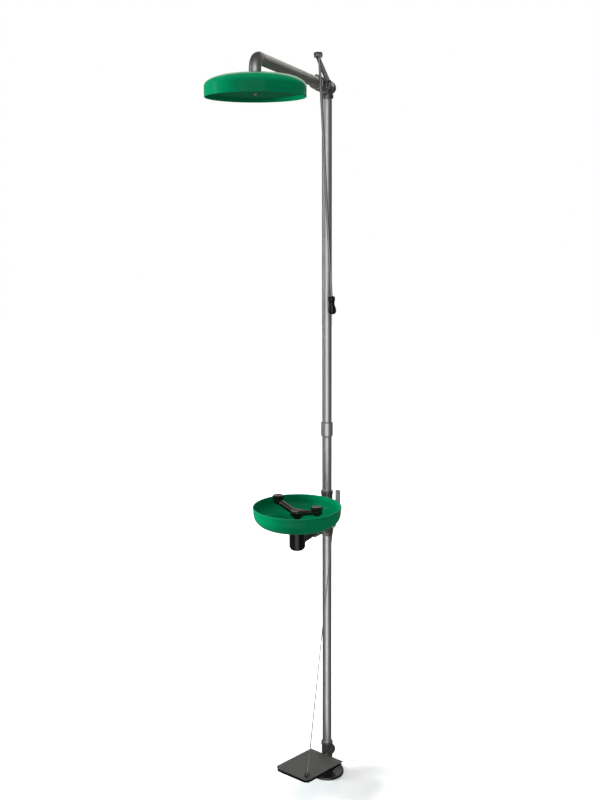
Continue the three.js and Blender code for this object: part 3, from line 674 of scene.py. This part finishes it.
eyewash_tee = tee([(DOWN, 38, RISER), (HERE, 38, RISER), (FRONT, 38, SUPPLY)])
piece("eyewash_tee_casting", eyewash_tee, EYEWASH_BRANCH, tee_cast, "station",
      ["eyewash_tee"], 50)
piece("riser_short", pipe(RISER, RISER_BORE, 995, 1057, [(1008, 1), (1044, -1)]), HERE,
      riser_steel, "station", ["riser_nipple"])

BEADED = soften([
    (17.3, 0), (20.3, 0), (21.5, 1.2), (21.5, 12.5), (19.8, 14), (19.8, 36), (21.5, 37.5),
    (21.5, 48.8), (20.3, 50), (17.3, 50), (17.3, 36), (13.3, 36), (13.3, 14), (17.3, 14),
], 1.2, closed=True)
piece("coupling_beaded", lathe(BEADED), shift(0, 0, 1044), tee_cast, "station",
      ["beaded_coupling"])
piece("riser_middle", pipe(RISER, RISER_BORE, 1081, 1305, [(1094, 1), (1292, -1)]), HERE,
      riser_steel, "station", ["middle_riser"])
PLAIN = soften([
    (17.3, 0), (19.2, 0), (20.7, 2.5), (20.7, 47.5), (19.2, 50), (17.3, 50), (17.3, 36),
    (13.3, 36), (13.3, 14), (17.3, 14),
], 0.8, closed=True)
piece("coupling_plain", lathe(PLAIN), shift(0, 0, 1292), riser_steel, "station",
      ["riser_coupling"])
piece("riser_upper", pipe(RISER, RISER_BORE, 1329, 2447, [(1342, 1), (2434, -1)]), HERE,
      riser_steel, "station", ["upper_riser"])
top_tee = tee([(DOWN, 38, RISER), (FRONT, 38, RISER), (BACK, 40, RISER)])
piece("top_tee_casting", top_tee, SHOWER_BRANCH, tee_cast, "station", ["top_tee"], 50)
piece("top_plug", plug(), SHOWER @ shift(0, 40, ARM_Z) @ BACK, tee_cast, "station",
      ["top_tee_plug"])

# ---- Valves ----


def valve_body(half, drum, inlet, outlet, stem, lever_at):
    """Along Y with the inlet at +Y: a drum between two hexagon ends, and a boss for the stem."""
    middle = lathe(soften([
        (0, 10 - half), (drum - 2, 10 - half), (drum, 12 - half), (drum, half - 12),
        (drum - 2, half - 10), (0, half - 10),
    ], 1.5))
    ends = [
        placed(nut(2 * (inlet + 5.6), 5, half), BACK),
        placed(nut(2 * (outlet + 5.6), 5, half), FRONT),
    ]
    boss_top = lever_at - 6
    boss_profile = [(0, 0), (stem + 6, 0), (stem + 6, boss_top), (0, boss_top)]
    boss = placed(lathe(soften(boss_profile, 1)), RIGHT)
    blank = union(placed(middle, FRONT), *ends, boss)
    return cut(
        blank,
        placed(disc(inlet + 0.5, half - 11, half + 1), BACK),
        placed(disc(outlet + 0.5, half - 11, half + 1), FRONT),
        placed(disc(stem + 0.3, 12, lever_at), RIGHT),
    )


piece("shower_valve_pipe", pipe(RISER, RISER_BORE, 25, 72, [(38, 1), (63, -1)]),
      SHOWER_BRANCH @ FRONT, arm_steel, "station", ["shower_valve_nipple"])
piece("shower_valve_casting", valve_body(31, 23, RISER, RISER, 5, 29), SHOWER_VALVE, dark_steel,
      "station", ["shower_valve_body"])
piece("shower_gland_nut", nut(19, 23.3, 28, 5.3), SHOWER_VALVE @ RIGHT, dark_steel, "station",
      ["shower_packing_nut"])
piece("eyewash_valve_casting", valve_body(28, 20, SUPPLY, SUPPLY, 4.5, 28), EYEWASH_VALVE, part_steel,
      "station", ["eyewash_valve_body"])
piece("eyewash_gland_nut", nut(18, 22.3, 27, 4.8), EYEWASH_VALVE @ RIGHT, part_steel, "station",
      ["eyewash_packing_nut"])
piece("eyewash_pipe", pipe(SUPPLY, SUPPLY_BORE, 25, 55, [(38, 1), (46, -1)]),
      EYEWASH_BRANCH @ FRONT, part_steel, "station", ["eyewash_nipple"])

# ---- Shower lever and pull rod ----


def link_outline(length, start_radius, end_radius):
    """The outline of a tapered bar with round ends, from the origin along +X."""
    lean = math.degrees(math.asin((start_radius - end_radius) / length))
    start = arc((0, 0), start_radius, 90 - lean, 270 + lean, 24)
    end = arc((length, 0), end_radius, -90 + lean, 90 - lean, 20)
    return start + end


def link_bar(length, start_radius, end_radius, thickness, start_hole, end_hole):
    """A tapered flat bar with a hole at each end."""
    holes = [circle(start_hole), circle(end_hole, length)]
    outline = link_outline(length, start_radius, end_radius)
    return bevelled(slab(outline, thickness, holes), 0.5)


lever_length = math.hypot(LEVER_FORWARD, LEVER_UP)
lever_angle = math.degrees(math.atan2(LEVER_UP, LEVER_FORWARD))
lever_stand = turn(-90, "Z") @ turn(90, "X") @ turn(lever_angle, "Z")
piece("shower_lever_bar", link_bar(lever_length, 14, 9.5, 5, 5.3, 4.3),
      SHOWER_VALVE @ shift(34, 0, 0) @ lever_stand, dark_steel, "shower_lever",
      ["shower_lever"])
piece("shower_lever_hexnut", nut(17, 34.5, 40, 5.3), SHOWER_VALVE @ RIGHT, dark_steel,
      "shower_lever", ["shower_lever_nut"])
rod_bolt = union(nut(16, 23, 28.7), lathe([(0, 28), (4, 28), (4, 47.2), (3.2, 48), (0, 48)], 32))
piece("rod_bolt", rod_bolt, ROD_BOLT @ RIGHT, part_steel, "shower_lever",
      ["pull_rod_bolt"])
piece("rod_nut", nut(16, 41.8, 46.8, 4.3), ROD_BOLT @ RIGHT, part_steel, "shower_lever",
      ["pull_rod_nut"])


def pull_rod():
    """A round rod that hangs from a flattened eye."""
    eye_profile = soften([(4.3, -3.2), (9, -3.2), (9, 3.2), (4.3, 3.2)], 0.7, closed=True)
    eye = placed(lathe(eye_profile, 48), RIGHT)
    neck_section = soften([(-3.2, -5), (3.2, -5), (3.2, 5), (-3.2, 5)], 1, closed=True)
    neck = sweep(neck_section, [(0, 0, -7.5), (0, 0, -17.5)])
    shank = lathe(soften([(0, -802), (4, -802), (4, -15), (0, -15)], 0.6), 32)
    return union(shank, neck, eye)


piece("pull_rod_shank", pull_rod(), ROD, dark_steel, "pull_rod", ["pull_rod"])
GRIP_TOP = -764
GRIP = [
    (0, -61), (6, -61), (10.5, -59.4), (13.2, -54), (13.7, -48), (12.6, -41), (10.2, -34),
    (8.9, -28), (9.6, -20), (11.4, -13), (12.1, -8), (11.2, -3), (8, 0), (4.3, 0), (4.3, -46),
    (0, -46),
]
piece("pull_grip", lathe(soften(GRIP, 3, 4)), ROD @ shift(0, 0, GRIP_TOP), black, "pull_rod",
      ["pull_handle"])

# ---- Shower arm, elbow and head ----

BEND = 33
BEND_START = SHOWER_REACH - BEND
LEG_END = 2398

arm_tube = pipe(RISER, RISER_BORE, 115, BEND_START - 1.2, [(125, 1)])
piece("shower_arm_tube", arm_tube, SHOWER_BRANCH @ FRONT, arm_steel, "station",
      ["shower_arm"])


def elbow():
    """A tight bend with a short leg, and a ground weld ring at the tube."""
    turning = arc((-BEND_START, ARM_Z - BEND), BEND, 90, 180, 18)
    path = [(0, y, z) for y, z in turning] + [(0, -SHOWER_REACH, LEG_END)]
    bore_path = [(0, 1 - BEND_START, ARM_Z), *path, (0, -SHOWER_REACH, LEG_END - 1)]
    outer = sweep(circle(RISER, count=ROUND), path)
    inner = sweep(circle(RISER_BORE, count=ROUND), bore_path)
    weld_profile = [(15, -1.9), (RISER, -1.9), (RISER + 0.4, 0), (RISER, 1.9), (15, 1.9)]
    weld = placed(lathe(soften(weld_profile, 0.8, closed=True)),
                  shift(0, -BEND_START - 2, ARM_Z) @ FRONT)
    return cut(union(outer, weld), inner)


piece("shower_elbow_bend", elbow(), SHOWER, arm_steel, "station", ["shower_elbow"], 40)
piece("head_washer_ring", ring(17.3, 23, 57.3, 63.5), HEAD, fibre, "station",
      ["head_washer"])


def head_shell():
    """A shallow drum, open below, with a groove above its rim."""
    radius, height, wall = 136.3, 57, 3
    reach, drop_off = 76, 30

    def shoulder(inset, start, end):
        """A quarter of an ellipse between the upright side and the flat middle."""
        return [
            (radius - reach + (reach - inset) * across, height - drop_off + (drop_off - inset) * up)
            for across, up in arc((0, 0), 1, start, end, 20)
        ]

    profile = [
        (radius - wall, 0.8), (radius - wall + 0.8, 0), (radius - 0.9, 0), (radius, 0.9),
        (radius, 7.6), (radius - 0.5, 8.3), (radius - 0.5, 9.2), (radius - 0.1, 10),
        *shoulder(0, 0, 90),
        (26, height), (24.5, height - 0.4), (17.3, height - 0.4), (17.3, height - wall),
        *shoulder(wall, 90, 0),
    ]
    return lathe(profile, 160)


piece("shower_head_shell", head_shell(), HEAD, green, "station",
      ["shower_head"], 50)
piece("head_hexnut", nut(44, 46, 53.7, 17.3), HEAD, part_steel, "station",
      ["head_lock_nut"])


def spreader_hub():
    """A stud with a flange, and four water ports round it."""
    body = lathe(soften([
        (0, 4), (2.9, 4), (3.5, 4.8), (3.5, 26), (15.6, 26), (15.6, 29.7), (13, 29.7), (13, 39),
        (0, 39),
    ], 0.4, 2))
    ports = [
        placed(disc(2.4, 20, 50, 24), turn(angle, "Z") @ shift(7.5, 0, 0))
        for angle in (0, 90, 180, 270)
    ]
    return cut(body, *ports)


piece("spreader_hub_turned", spreader_hub(), HEAD, part_steel, "station",
      ["spreader_hub"])


def spreader():
    """A plate with rings of drilled holes and an upturned lip."""
    rows = [(18, 6), (35, 12), (52, 18), (69, 24), (86, 30), (103, 36)]
    holes = [circle(3.8, count=48)]
    for radius, count in rows:
        for i in range(count):
            angle = 2 * math.pi * (i + 0.5) / count
            holes.append(circle(2.0, radius * math.cos(angle), radius * math.sin(angle), 12))
    floor = placed(slab(circle(117.6, count=128), 3, holes), shift(0, 0, 10))
    lip = lathe(soften([(117, 10), (120, 10), (120, 17), (117, 17)], 0.9, closed=True), 128)
    return together(floor, lip)


# The spreader plate takes the darker green, which paints the shade under the head.
piece("spreader_disc", spreader(), HEAD, green_with_painted_shade, "station",
      ["spreader_plate"])
piece("spreader_hexnut", nut(13, 5, 9.7, 3.8), HEAD, dark_steel, "station",
      ["spreader_nut"])

# ---- Eyewash hand lever ----


def hand_lever():
    """A bent bar with a round top, a crank behind the stem and the crank pin with its head."""
    inner = [(28, -13), (28, 24), (75, 88), (75, 158)]
    centre_line = soften([(x + 2.5, 0, z) for x, z in inner], 9, 6)
    section = soften([(-16, -2.5), (16, -2.5), (16, 2.5), (-16, 2.5)], 0.9, 2, closed=True)
    bar = sweep(section, centre_line, side=(0, 1, 0))
    slanted = [(-17, -200), (17, -200), (17, -12), (13, -8), (-13, 0), (-17, 0)]
    keep = placed(slab(soften(slanted, 2.5, 4, closed=True), 80), shift(10, 0, 158) @ ON_EDGE)
    bar = common(bar, keep)
    crank = link_bar(CRANK_ARM, 13, 8, 3, 4.8, 2.4)
    crank = placed(crank, shift(28, 0, 0) @ ON_EDGE @ turn(CRANK_ANGLE, "Z"))
    pin_profile = [(0, 28.5), (2.5, 28.5), (2.5, 54), (12, 54), (12, 56), (0, 56)]
    pin = placed(lathe(soften(pin_profile, 0.5), 40), shift(0, CRANK_OFFSET, CRANK_OFFSET) @ RIGHT)
    whole = union(bar, crank, pin)
    return cut(whole, placed(disc(4.8, 20, 40), RIGHT))


piece("hand_lever_bar", hand_lever(), EYEWASH_VALVE, lever_steel, "hand_lever",
      ["eyewash_lever"])
piece("hand_lever_hexnut", nut(16, 34.5, 40, 4.8), EYEWASH_VALVE @ RIGHT, part_steel,
      "hand_lever", ["eyewash_lever_nut"])

# ---- Bowl, drain body and yoke ----

piece("bowl_arm_pipe", pipe(SUPPLY, SUPPLY_BORE, 92, 205, [(102, 1)]), EYEWASH_BRANCH @ FRONT,
      black_coat, "station", ["bowl_arm"])


def smooth_step(value):
    """Rises gently from 0 to 1 as the value does."""
    value = max(0.0, min(1.0, value))
    return value * value * (3 - 2 * value)


def bowl():
    """The moulded bowl, with a turned-out rim. Its floor has a dome and a ledge."""
    radius, depth, corner, wall = 149.2, 63, 42, 3.2
    segments = 160
    centre = (radius - 2 - corner, corner - depth)
    floor = wall - depth
    under = [(23, -depth), (60, -depth)]
    inner_corner = arc(centre, corner - wall, 0, -90, 14)
    flat = [(r, floor) for r in range(98, 38, -4)] + [(36, floor), (34.6, floor), (23, floor)]
    profile = [
        *under,
        *arc(centre, corner, -90, 0, 16),
        (radius - 1.6, -7.6), (radius - 0.2, -6.4), (radius, -5.6), (radius, -1.4),
        (radius - 0.5, -0.4), (radius - 1.4, 0), (radius - 3.8, 0), (radius - 4.7, -0.4),
        (radius - 5, -1.4),
        *inner_corner,
        *flat,
    ]
    corners, faces = lathe(profile, segments)
    inner_start = (len(profile) - len(flat) - len(inner_corner)) * segments
    moulded = []
    for i, (x, y, z) in enumerate(corners):
        if i >= inner_start:
            z += floor_relief(x, y)
        moulded.append((x, y, z))
    return moulded, faces


def floor_relief(x, y):
    """Height of the moulded forms on the bowl's floor."""
    away = math.hypot(x, y)
    inside = 1 - smooth_step((away - 96) / 26)
    clear = smooth_step((away - 37) / 10)
    dome = 1 - smooth_step((math.hypot(x + 68, y + 6) - 8) / 24)
    ledge = smooth_step((x - 30) / 10) * smooth_step((46 - abs(y + 14)) / 9)
    return inside * clear * (9.5 * dome + 6.0 * ledge)


piece("bowl_shell", bowl(), BOWL, green, "station", ["eyewash_bowl"], 50)
piece("bowl_gasket_ring", ring(23, 30, -65.7, -63.3), BOWL, fibre, "station",
      ["bowl_gasket"])


def drain_casting():
    """An upright cup that carries the bowl, with the arm's boss and the drain way behind it."""
    shell = lathe(soften([
        (19, -148), (20.2, -148), (21, -147.2), (21, -143), (25.8, -143), (27, -141.8), (27, -76),
        (27, -71), (30, -69), (30, -66), (22.4, -66), (22.4, -59.8), (19, -59.8),
    ], 1.2, closed=True))
    arm_axis = shift(0, 0, EYEWASH_Z - BOWL_RIM_Z) @ BACK
    cross = placed(disc(11.5, -20, 20), arm_axis)
    boss = placed(lathe(soften([(0, 20.5), (15.9, 20.5), (15.9, 36), (0, 36)], 1.0)), arm_axis)
    tube = disc(10.5, -137, -34)
    screw_boss = placed(lathe(soften([(0, 20), (7.5, 20), (7.5, 25.6), (6, 27), (0, 27)], 0.8), 40),
                        shift(0, 0, -84) @ along((-0.62, -0.78, 0)))
    blank = union(shell, cross, boss, tube, screw_boss)
    return cut(
        blank,
        placed(disc(SUPPLY + 0.5, 23.5, 37), arm_axis),
        placed(disc(7.5, 0, 30), arm_axis),
        disc(7, -129, -30),
    )


piece("drain_casting", drain_casting(), BOWL, black, "station", ["drain_body"])


def drain_ring():
    """A slip nut with twelve shallow grip flutes."""
    flutes, depth = 12, 0.022
    profile = soften([
        (15, -151), (19.5, -151), (24, -147), (24, -143.3), (21.3, -143.3), (21.3, -148.3),
        (15, -148.3),
    ], 0.7, closed=True)
    corners, faces = lathe(profile, 96)
    fluted = []
    for x, y, z in corners:
        radius = math.hypot(x, y)
        if radius > 22 and -148 < z < -143:
            wave = 1 - depth * (0.5 + 0.5 * math.cos(flutes * math.atan2(y, x)))
            x, y = x * wave, y * wave
        fluted.append((x, y, z))
    return fluted, faces


piece("drain_slip_nut", drain_ring(), BOWL, black, "station", ["drain_nut"])


def strainer():
    """A flat disc with three rings of holes and a turned-up rim."""
    holes = [circle(10.8, count=64)]
    for radius, count, size in ((15.5, 10, 1.9), (22, 14, 2.2), (28.5, 18, 2.2)):
        for i in range(count):
            angle = 2 * math.pi * i / count
            holes.append(circle(size, radius * math.cos(angle), radius * math.sin(angle), 12))
    floor = placed(slab(circle(33, count=96), 2.6, holes), shift(0, 0, -59.5))
    rim_profile = [(31.5, -59.5), (34, -59.5), (34, -58), (32.4, -56.5), (31.5, -56.5)]
    rim = lathe(soften(rim_profile, 0.6, closed=True), 96)
    return together(floor, rim)


piece("strainer_disc", strainer(), BOWL, part_steel, "station", ["bowl_strainer"])

# Each spray head's distance from the middle of the yoke.
HEAD_AT = 95.5


def yoke():
    """Two flat-topped bars that rise from a round hub to the spray heads."""
    hub = lathe(soften([
        (0, -38), (17, -38), (22, -33), (24.5, -26), (24.5, -18), (21.5, -13.4), (0, -13),
    ], 3, 4))
    section = [(-10, 6.5), (-10, -1), *arc((0, -1), 10, 180, 360, 10)[1:-1], (10, -1), (10, 6.5)]
    section = soften(section, 0.8, 2, closed=True)
    parts = []
    for side in (-1, 1):
        path = [
            (0, 0, -21), (side * 22, 0, -20), (side * 42, 0, -15.5), (side * 76, 0, -6),
            (side * HEAD_AT, 0, -3),
        ]
        turned = [(-a, b) for a, b in section] if side < 0 else section
        parts.append(sweep(turned, soften(path, 14, 5), side=(0, -side, 0)))
        parts.append(placed(lathe(soften([
            (0, -11), (11, -11), (18, -4), (18, 5.5), (8, 5.5), (8, 11), (0, 11),
        ], 1.2, 4)), shift(side * HEAD_AT, 0, 0)))
    blank = union(hub, *parts)
    return cut(blank, disc(10.8, -50, -33.5), disc(7, -50, -26))


piece("yoke_casting", yoke(), YOKE, painted_sheen_black, "station", ["spray_yoke"])


def spray_cup():
    """A cup round the spray hole, with a raised lip."""
    return lathe(soften([
        (8.3, 5.8), (16.8, 5.8), (16.8, 17), (12.2, 17), (12, 14), (5, 14), (4.8, 17), (1.2, 17),
        (1.2, 11.5), (8.3, 11.5),
    ], 0.7, closed=True))


def cap():
    """An eight-sided cap with a crowned top and a thin wall."""
    outer = lathe(soften([
        (0, 21), (12, 20.8), (17, 19.4), (19.9, 16), (20.1, 6), (0, 6),
    ], 0.9, 3), 8)
    outer = bevelled(outer, 0.6, 3, 30)
    return cut(outer, disc(17.1, 0, 17.6))


for side, sign, body in (("left", -1, "left_cap"), ("right", 1, "right_cap")):
    at_head = YOKE @ shift(sign * HEAD_AT, 0, 0)
    piece(f"spray_cup_{side}", spray_cup(), at_head, black, "station",
          [f"spray_head_{side}"])
    piece(f"cap_{side}", cap(), at_head, painted_sheen_black, body, [f"dust_cap_{side}"], 25)

# ---- Foot treadle ----


def tread_outline(width, rear, front, corner):
    """A plate's outline with its two front corners rounded."""
    half = width / 2
    return [
        (half, rear), (-half, rear),
        *arc((-half + corner, front + corner), corner, 180, 270, 12),
        *arc((half - corner, front + corner), corner, 270, 360, 12),
    ]


def tread_plate():
    """The tread, with an upright lug and the headed pin that the rod hangs on."""
    pin_y, pin_z = LUG_PIN[1:]
    top = placed(bevelled(slab(tread_outline(147, 6, -211, 21), 2.5), 0.5), shift(0, 0, 7))
    tab = [(-8, 0), (8, 0), (8, 9), *arc((0, 9), 8, 0, 180, 12)[1:-1], (-8, 9)]
    lug = placed(bevelled(slab(tab, 3), 0.4), shift(46, pin_y, 8.5) @ ON_EDGE)
    pin_profile = [(0, 46.3), (2.2, 46.3), (2.2, 59.5), (4, 59.5), (4, 61), (0, 61)]
    pin = placed(lathe(soften(pin_profile, 0.4), 32), shift(0, pin_y, pin_z) @ RIGHT)
    return union(top, lug, pin)


def tread_pan():
    """The pan under the tread: side walls, and two ears round the hinge pin."""
    outline = tread_outline(142, 5, -208, 18)
    slot = [(-27, -12), (27, -12), (27, 4.2), (-27, 4.2)]
    floor = placed(bevelled(slab(outline, 2.5, [slot]), 0.4), shift(0, 0, -3))
    parts = []
    wall = [(-172.5, -0.8), (-7.5, -0.8), (-7.5, 6.7), (-172.5, 6.7)]
    ear = [(8, -0.6), (-8, -0.6), (-8, -5), *arc((0, 0), 6, 225, 315, 6), (8, -5)]
    for side in (-1, 1):
        wall_x, ear_x = side * 60, side * 27
        parts.append(placed(slab(wall, 2.5), shift(wall_x - 1.25, 0, 0) @ ON_EDGE))
        parts.append(placed(slab(ear, 4), shift(ear_x - 2, 0, 0) @ ON_EDGE))
        parts.append(placed(ring(3.3, 6, -2, 2, 0.4), shift(ear_x, 0, 0) @ RIGHT))
    return union(floor, *parts)


piece("tread_top_plate", tread_plate(), TREADLE, tread_top, "treadle",
      ["treadle_plate"])
piece("tread_under_pan", tread_pan(), TREADLE, tread_with_painted_shade, "treadle",
      ["treadle_pan"])
hinge_pin = lathe(soften([(0, -33), (3, -33), (3, 33), (0, 33)], 0.6), 40)
piece("hinge_pin_turned", hinge_pin, TREADLE_HINGE @ RIGHT, part_steel, "station",
      ["hinge_pin"])


def clamp_half(side):
    """Half of a pipe clamp with a bolt ear at each side."""
    collar = lathe(soften([(17.3, 27.5), (23, 27.5), (23, 38.5), (17.3, 38.5)], 1, closed=True))
    ears = []
    for x in (-29, 29):
        outline = [(x - 8, side), (x + 8, side), (x + 8, side * 9), (x - 8, side * 9)]
        ears.append(placed(slab(soften(outline, 1.5, closed=True), 11), shift(0, 0, 27.5)))
    half_space = [(-60, side), (60, side), (60, side * 41), (-60, side * 41)]
    keep = placed(slab(half_space, 60), shift(0, 0, 10))
    blank = common(union(collar, *ears), keep)
    holes = [placed(disc(3.4, -20, 20, 24), shift(x, 0, 33) @ BACK) for x in (-31, 31)]
    return cut(blank, disc(17.3, 0, 99), *holes)


def hinge_bracket():
    """The front clamp half, with a shelf and two cheeks that hold the hinge pin."""
    hinge_x, hinge_y, hinge_z = HINGE_AT
    shelf = placed(slab(soften([(-4, -46), (44, -46), (44, -22), (-4, -22)], 2, closed=True), 6),
                   shift(0, 0, 27.5))
    cheeks = []
    for side in (-1, 1):
        crown = arc((hinge_y, hinge_z), 6, 0, 180, 12)[1:-1]
        web = [(-42, 27.5), (-30, 27.5), (-30, hinge_z), *crown, (-42, hinge_z)]
        cheeks.append(placed(slab(web, 4), shift(hinge_x - 2 + side * 20, 0, 0) @ ON_EDGE))
    pin_hole = placed(disc(3.3, -60, 60, 32), shift(*HINGE_AT) @ RIGHT)
    return cut(union(clamp_half(-1), shelf, *cheeks), pin_hole, disc(17.3, 0, 99))


piece("hinge_bracket_casting", hinge_bracket(), TREADLE_TURN, tread_with_painted_shade, "station",
      ["hinge_bracket"])
piece("clamp_casting", clamp_half(1), TREADLE_TURN, tread_with_painted_shade, "station",
      ["bracket_clamp"])


def treadle_rod():
    """A thin rod with a bent eye and a crimped sleeve at each end."""
    wire, top_radius, bottom_radius = 1.6, 12.6, 6
    top = EYEWASH_VALVE @ Vector((50, CRANK_OFFSET, CRANK_OFFSET))
    bottom = TREADLE @ Vector(LUG_PIN)
    line = bottom - top
    top_eye = placed(torus(top_radius, wire, 48), Matrix.Translation(top) @ EYEWASH)
    bottom_eye = placed(torus(bottom_radius, wire, 32), Matrix.Translation(bottom) @ TREADLE_TURN)
    lay = Matrix.Translation(top) @ along(line)
    shank = placed(disc(wire, top_radius, line.length - bottom_radius, 24), lay)
    sleeves = []
    for start in (14.4, line.length - 22):
        profile = soften([(0, start), (3, start), (3, start + 14), (0, start + 14)], 0.9)
        sleeves.append(placed(lathe(profile, 24), lay))
    return together(union(shank, top_eye, bottom_eye), *sleeves)


piece("treadle_link_rod", treadle_rod(), HERE, rod_steel, "treadle_rod",
      ["treadle_rod"])

# ---- Camera, floor and light ----

IMAGE_HEIGHT = 800
FOCAL_LENGTH = 1002.5
SENSOR = 36
CAMERA_TURN = 18
CAMERA_DIP = 10.75
CAMERA_ROLL = -0.3

camera = bpy.data.objects.new("camera", bpy.data.cameras.new("camera"))
camera.matrix_world = (
    shift(0.97365, -3.30125, 2.07415)
    @ turn(CAMERA_TURN, "Z") @ turn(90 - CAMERA_DIP, "X") @ turn(CAMERA_ROLL, "Z")
)
camera.data.lens = FOCAL_LENGTH / IMAGE_HEIGHT * SENSOR
camera.data.sensor_width = SENSOR
bpy.context.scene.collection.objects.link(camera)
bpy.context.scene.camera = camera

FLOOR_HALF = 14
floor_mesh = bpy.data.meshes.new("floor")
floor_mesh.from_pydata(
    [(x, y, 0) for x, y in ((-1, -1), (1, -1), (1, 1), (-1, 1))], [], [(0, 1, 2, 3)]
)
floor_mesh.transform(Matrix.Scale(FLOOR_HALF, 4))
floor = bpy.data.objects.new("floor", floor_mesh)
bpy.context.scene.collection.objects.link(floor)
floor_recipe = Recipe("floor_paper")
floor_recipe.colour(floor_recipe.noise(3), (0.93, 0.93, 0.93), (0.95, 0.95, 0.95))
floor_recipe.roughness(floor_recipe.noise(8), 0.8, 0.9)
floor_recipe.glow_away(0.2, 0.9, 0.16, 0.8)
floor_paper = floor_recipe.constant(Specular_IOR_Level=0.1, Emission_Color=(1, 1, 1, 1))
floor.data.materials.append(floor_paper)
floor.visible_glossy = False
floor.visible_diffuse = False
floor.visible_shadow = False

bpy.context.scene.view_settings.view_transform = "Standard"


def background(nodes, strength):
    shader = nodes.new("ShaderNodeBackground")
    shader.inputs["Color"].default_value = (1, 1, 1, 1)
    shader.inputs["Strength"].default_value = strength
    return shader.outputs["Background"]


def studio_world(seen, lighting, mirrored):
    """A white world with one strength for the camera, one for its light and one in reflections."""
    world = bpy.data.worlds.new("studio")
    world.use_nodes = True
    nodes, links = world.node_tree.nodes, world.node_tree.links
    nodes.clear()
    rays = nodes.new("ShaderNodeLightPath")
    unseen = nodes.new("ShaderNodeMixShader")
    whole = nodes.new("ShaderNodeMixShader")
    output = nodes.new("ShaderNodeOutputWorld")
    links.new(rays.outputs["Is Glossy Ray"], unseen.inputs["Fac"])
    links.new(background(nodes, lighting), unseen.inputs[1])
    links.new(background(nodes, mirrored), unseen.inputs[2])
    links.new(rays.outputs["Is Camera Ray"], whole.inputs["Fac"])
    links.new(unseen.outputs["Shader"], whole.inputs[1])
    links.new(background(nodes, seen), whole.inputs[2])
    links.new(whole.outputs["Shader"], output.inputs["Surface"])
    bpy.context.scene.world = world


def softbox(name, place, target, width, height, power, colour, glossy=True, diffuse=True):
    """An area light. It can be left out of reflections or of diffuse light."""
    light = bpy.data.lights.new(name, "AREA")
    light.shape = "RECTANGLE"
    light.size = width
    light.size_y = height
    light.energy = power
    light.color = colour
    obj = bpy.data.objects.new(name, light)
    obj.location = place
    obj.visible_glossy = glossy
    obj.visible_diffuse = diffuse
    obj.rotation_euler = (Vector(target) - Vector(place)).to_track_quat("-Z", "Y").to_euler()
    bpy.context.scene.collection.objects.link(obj)


WARM = (1.0, 0.98, 0.975)
WARMER = (1.0, 0.96, 0.91)
COOL = (0.92, 1.0, 1.0)
COOLER = (0.9, 1.0, 1.0)
WHITE = (1, 1, 1)

studio_world(seen=1.0, lighting=0.55, mirrored=0.10)
softbox("key", (-3.8, -1.3, 1.9), (0, -0.2, 0.9), 1.5, 1.5, 260, COOLER, glossy=False)
softbox("top", (-0.2, -0.8, 5.0), (0, -0.3, 0), 2.5, 2.5, 70, WHITE, glossy=False)
softbox("front_wall", (0.9, -4.4, 1.0), (0, 0, 1.0), 4.2, 8.0, 160, WARM, diffuse=False)
softbox("back_wall", (-0.6, 4.2, 4.4), (0, -0.2, 1.6), 5.0, 3.0, 56, WARMER, diffuse=False)
softbox("left_strip", (-3.4, -1.4, 2.4), (0, -0.5, 2.2), 0.8, 3.0, 18, COOL, diffuse=False)

bpy.context.view_layer.update()
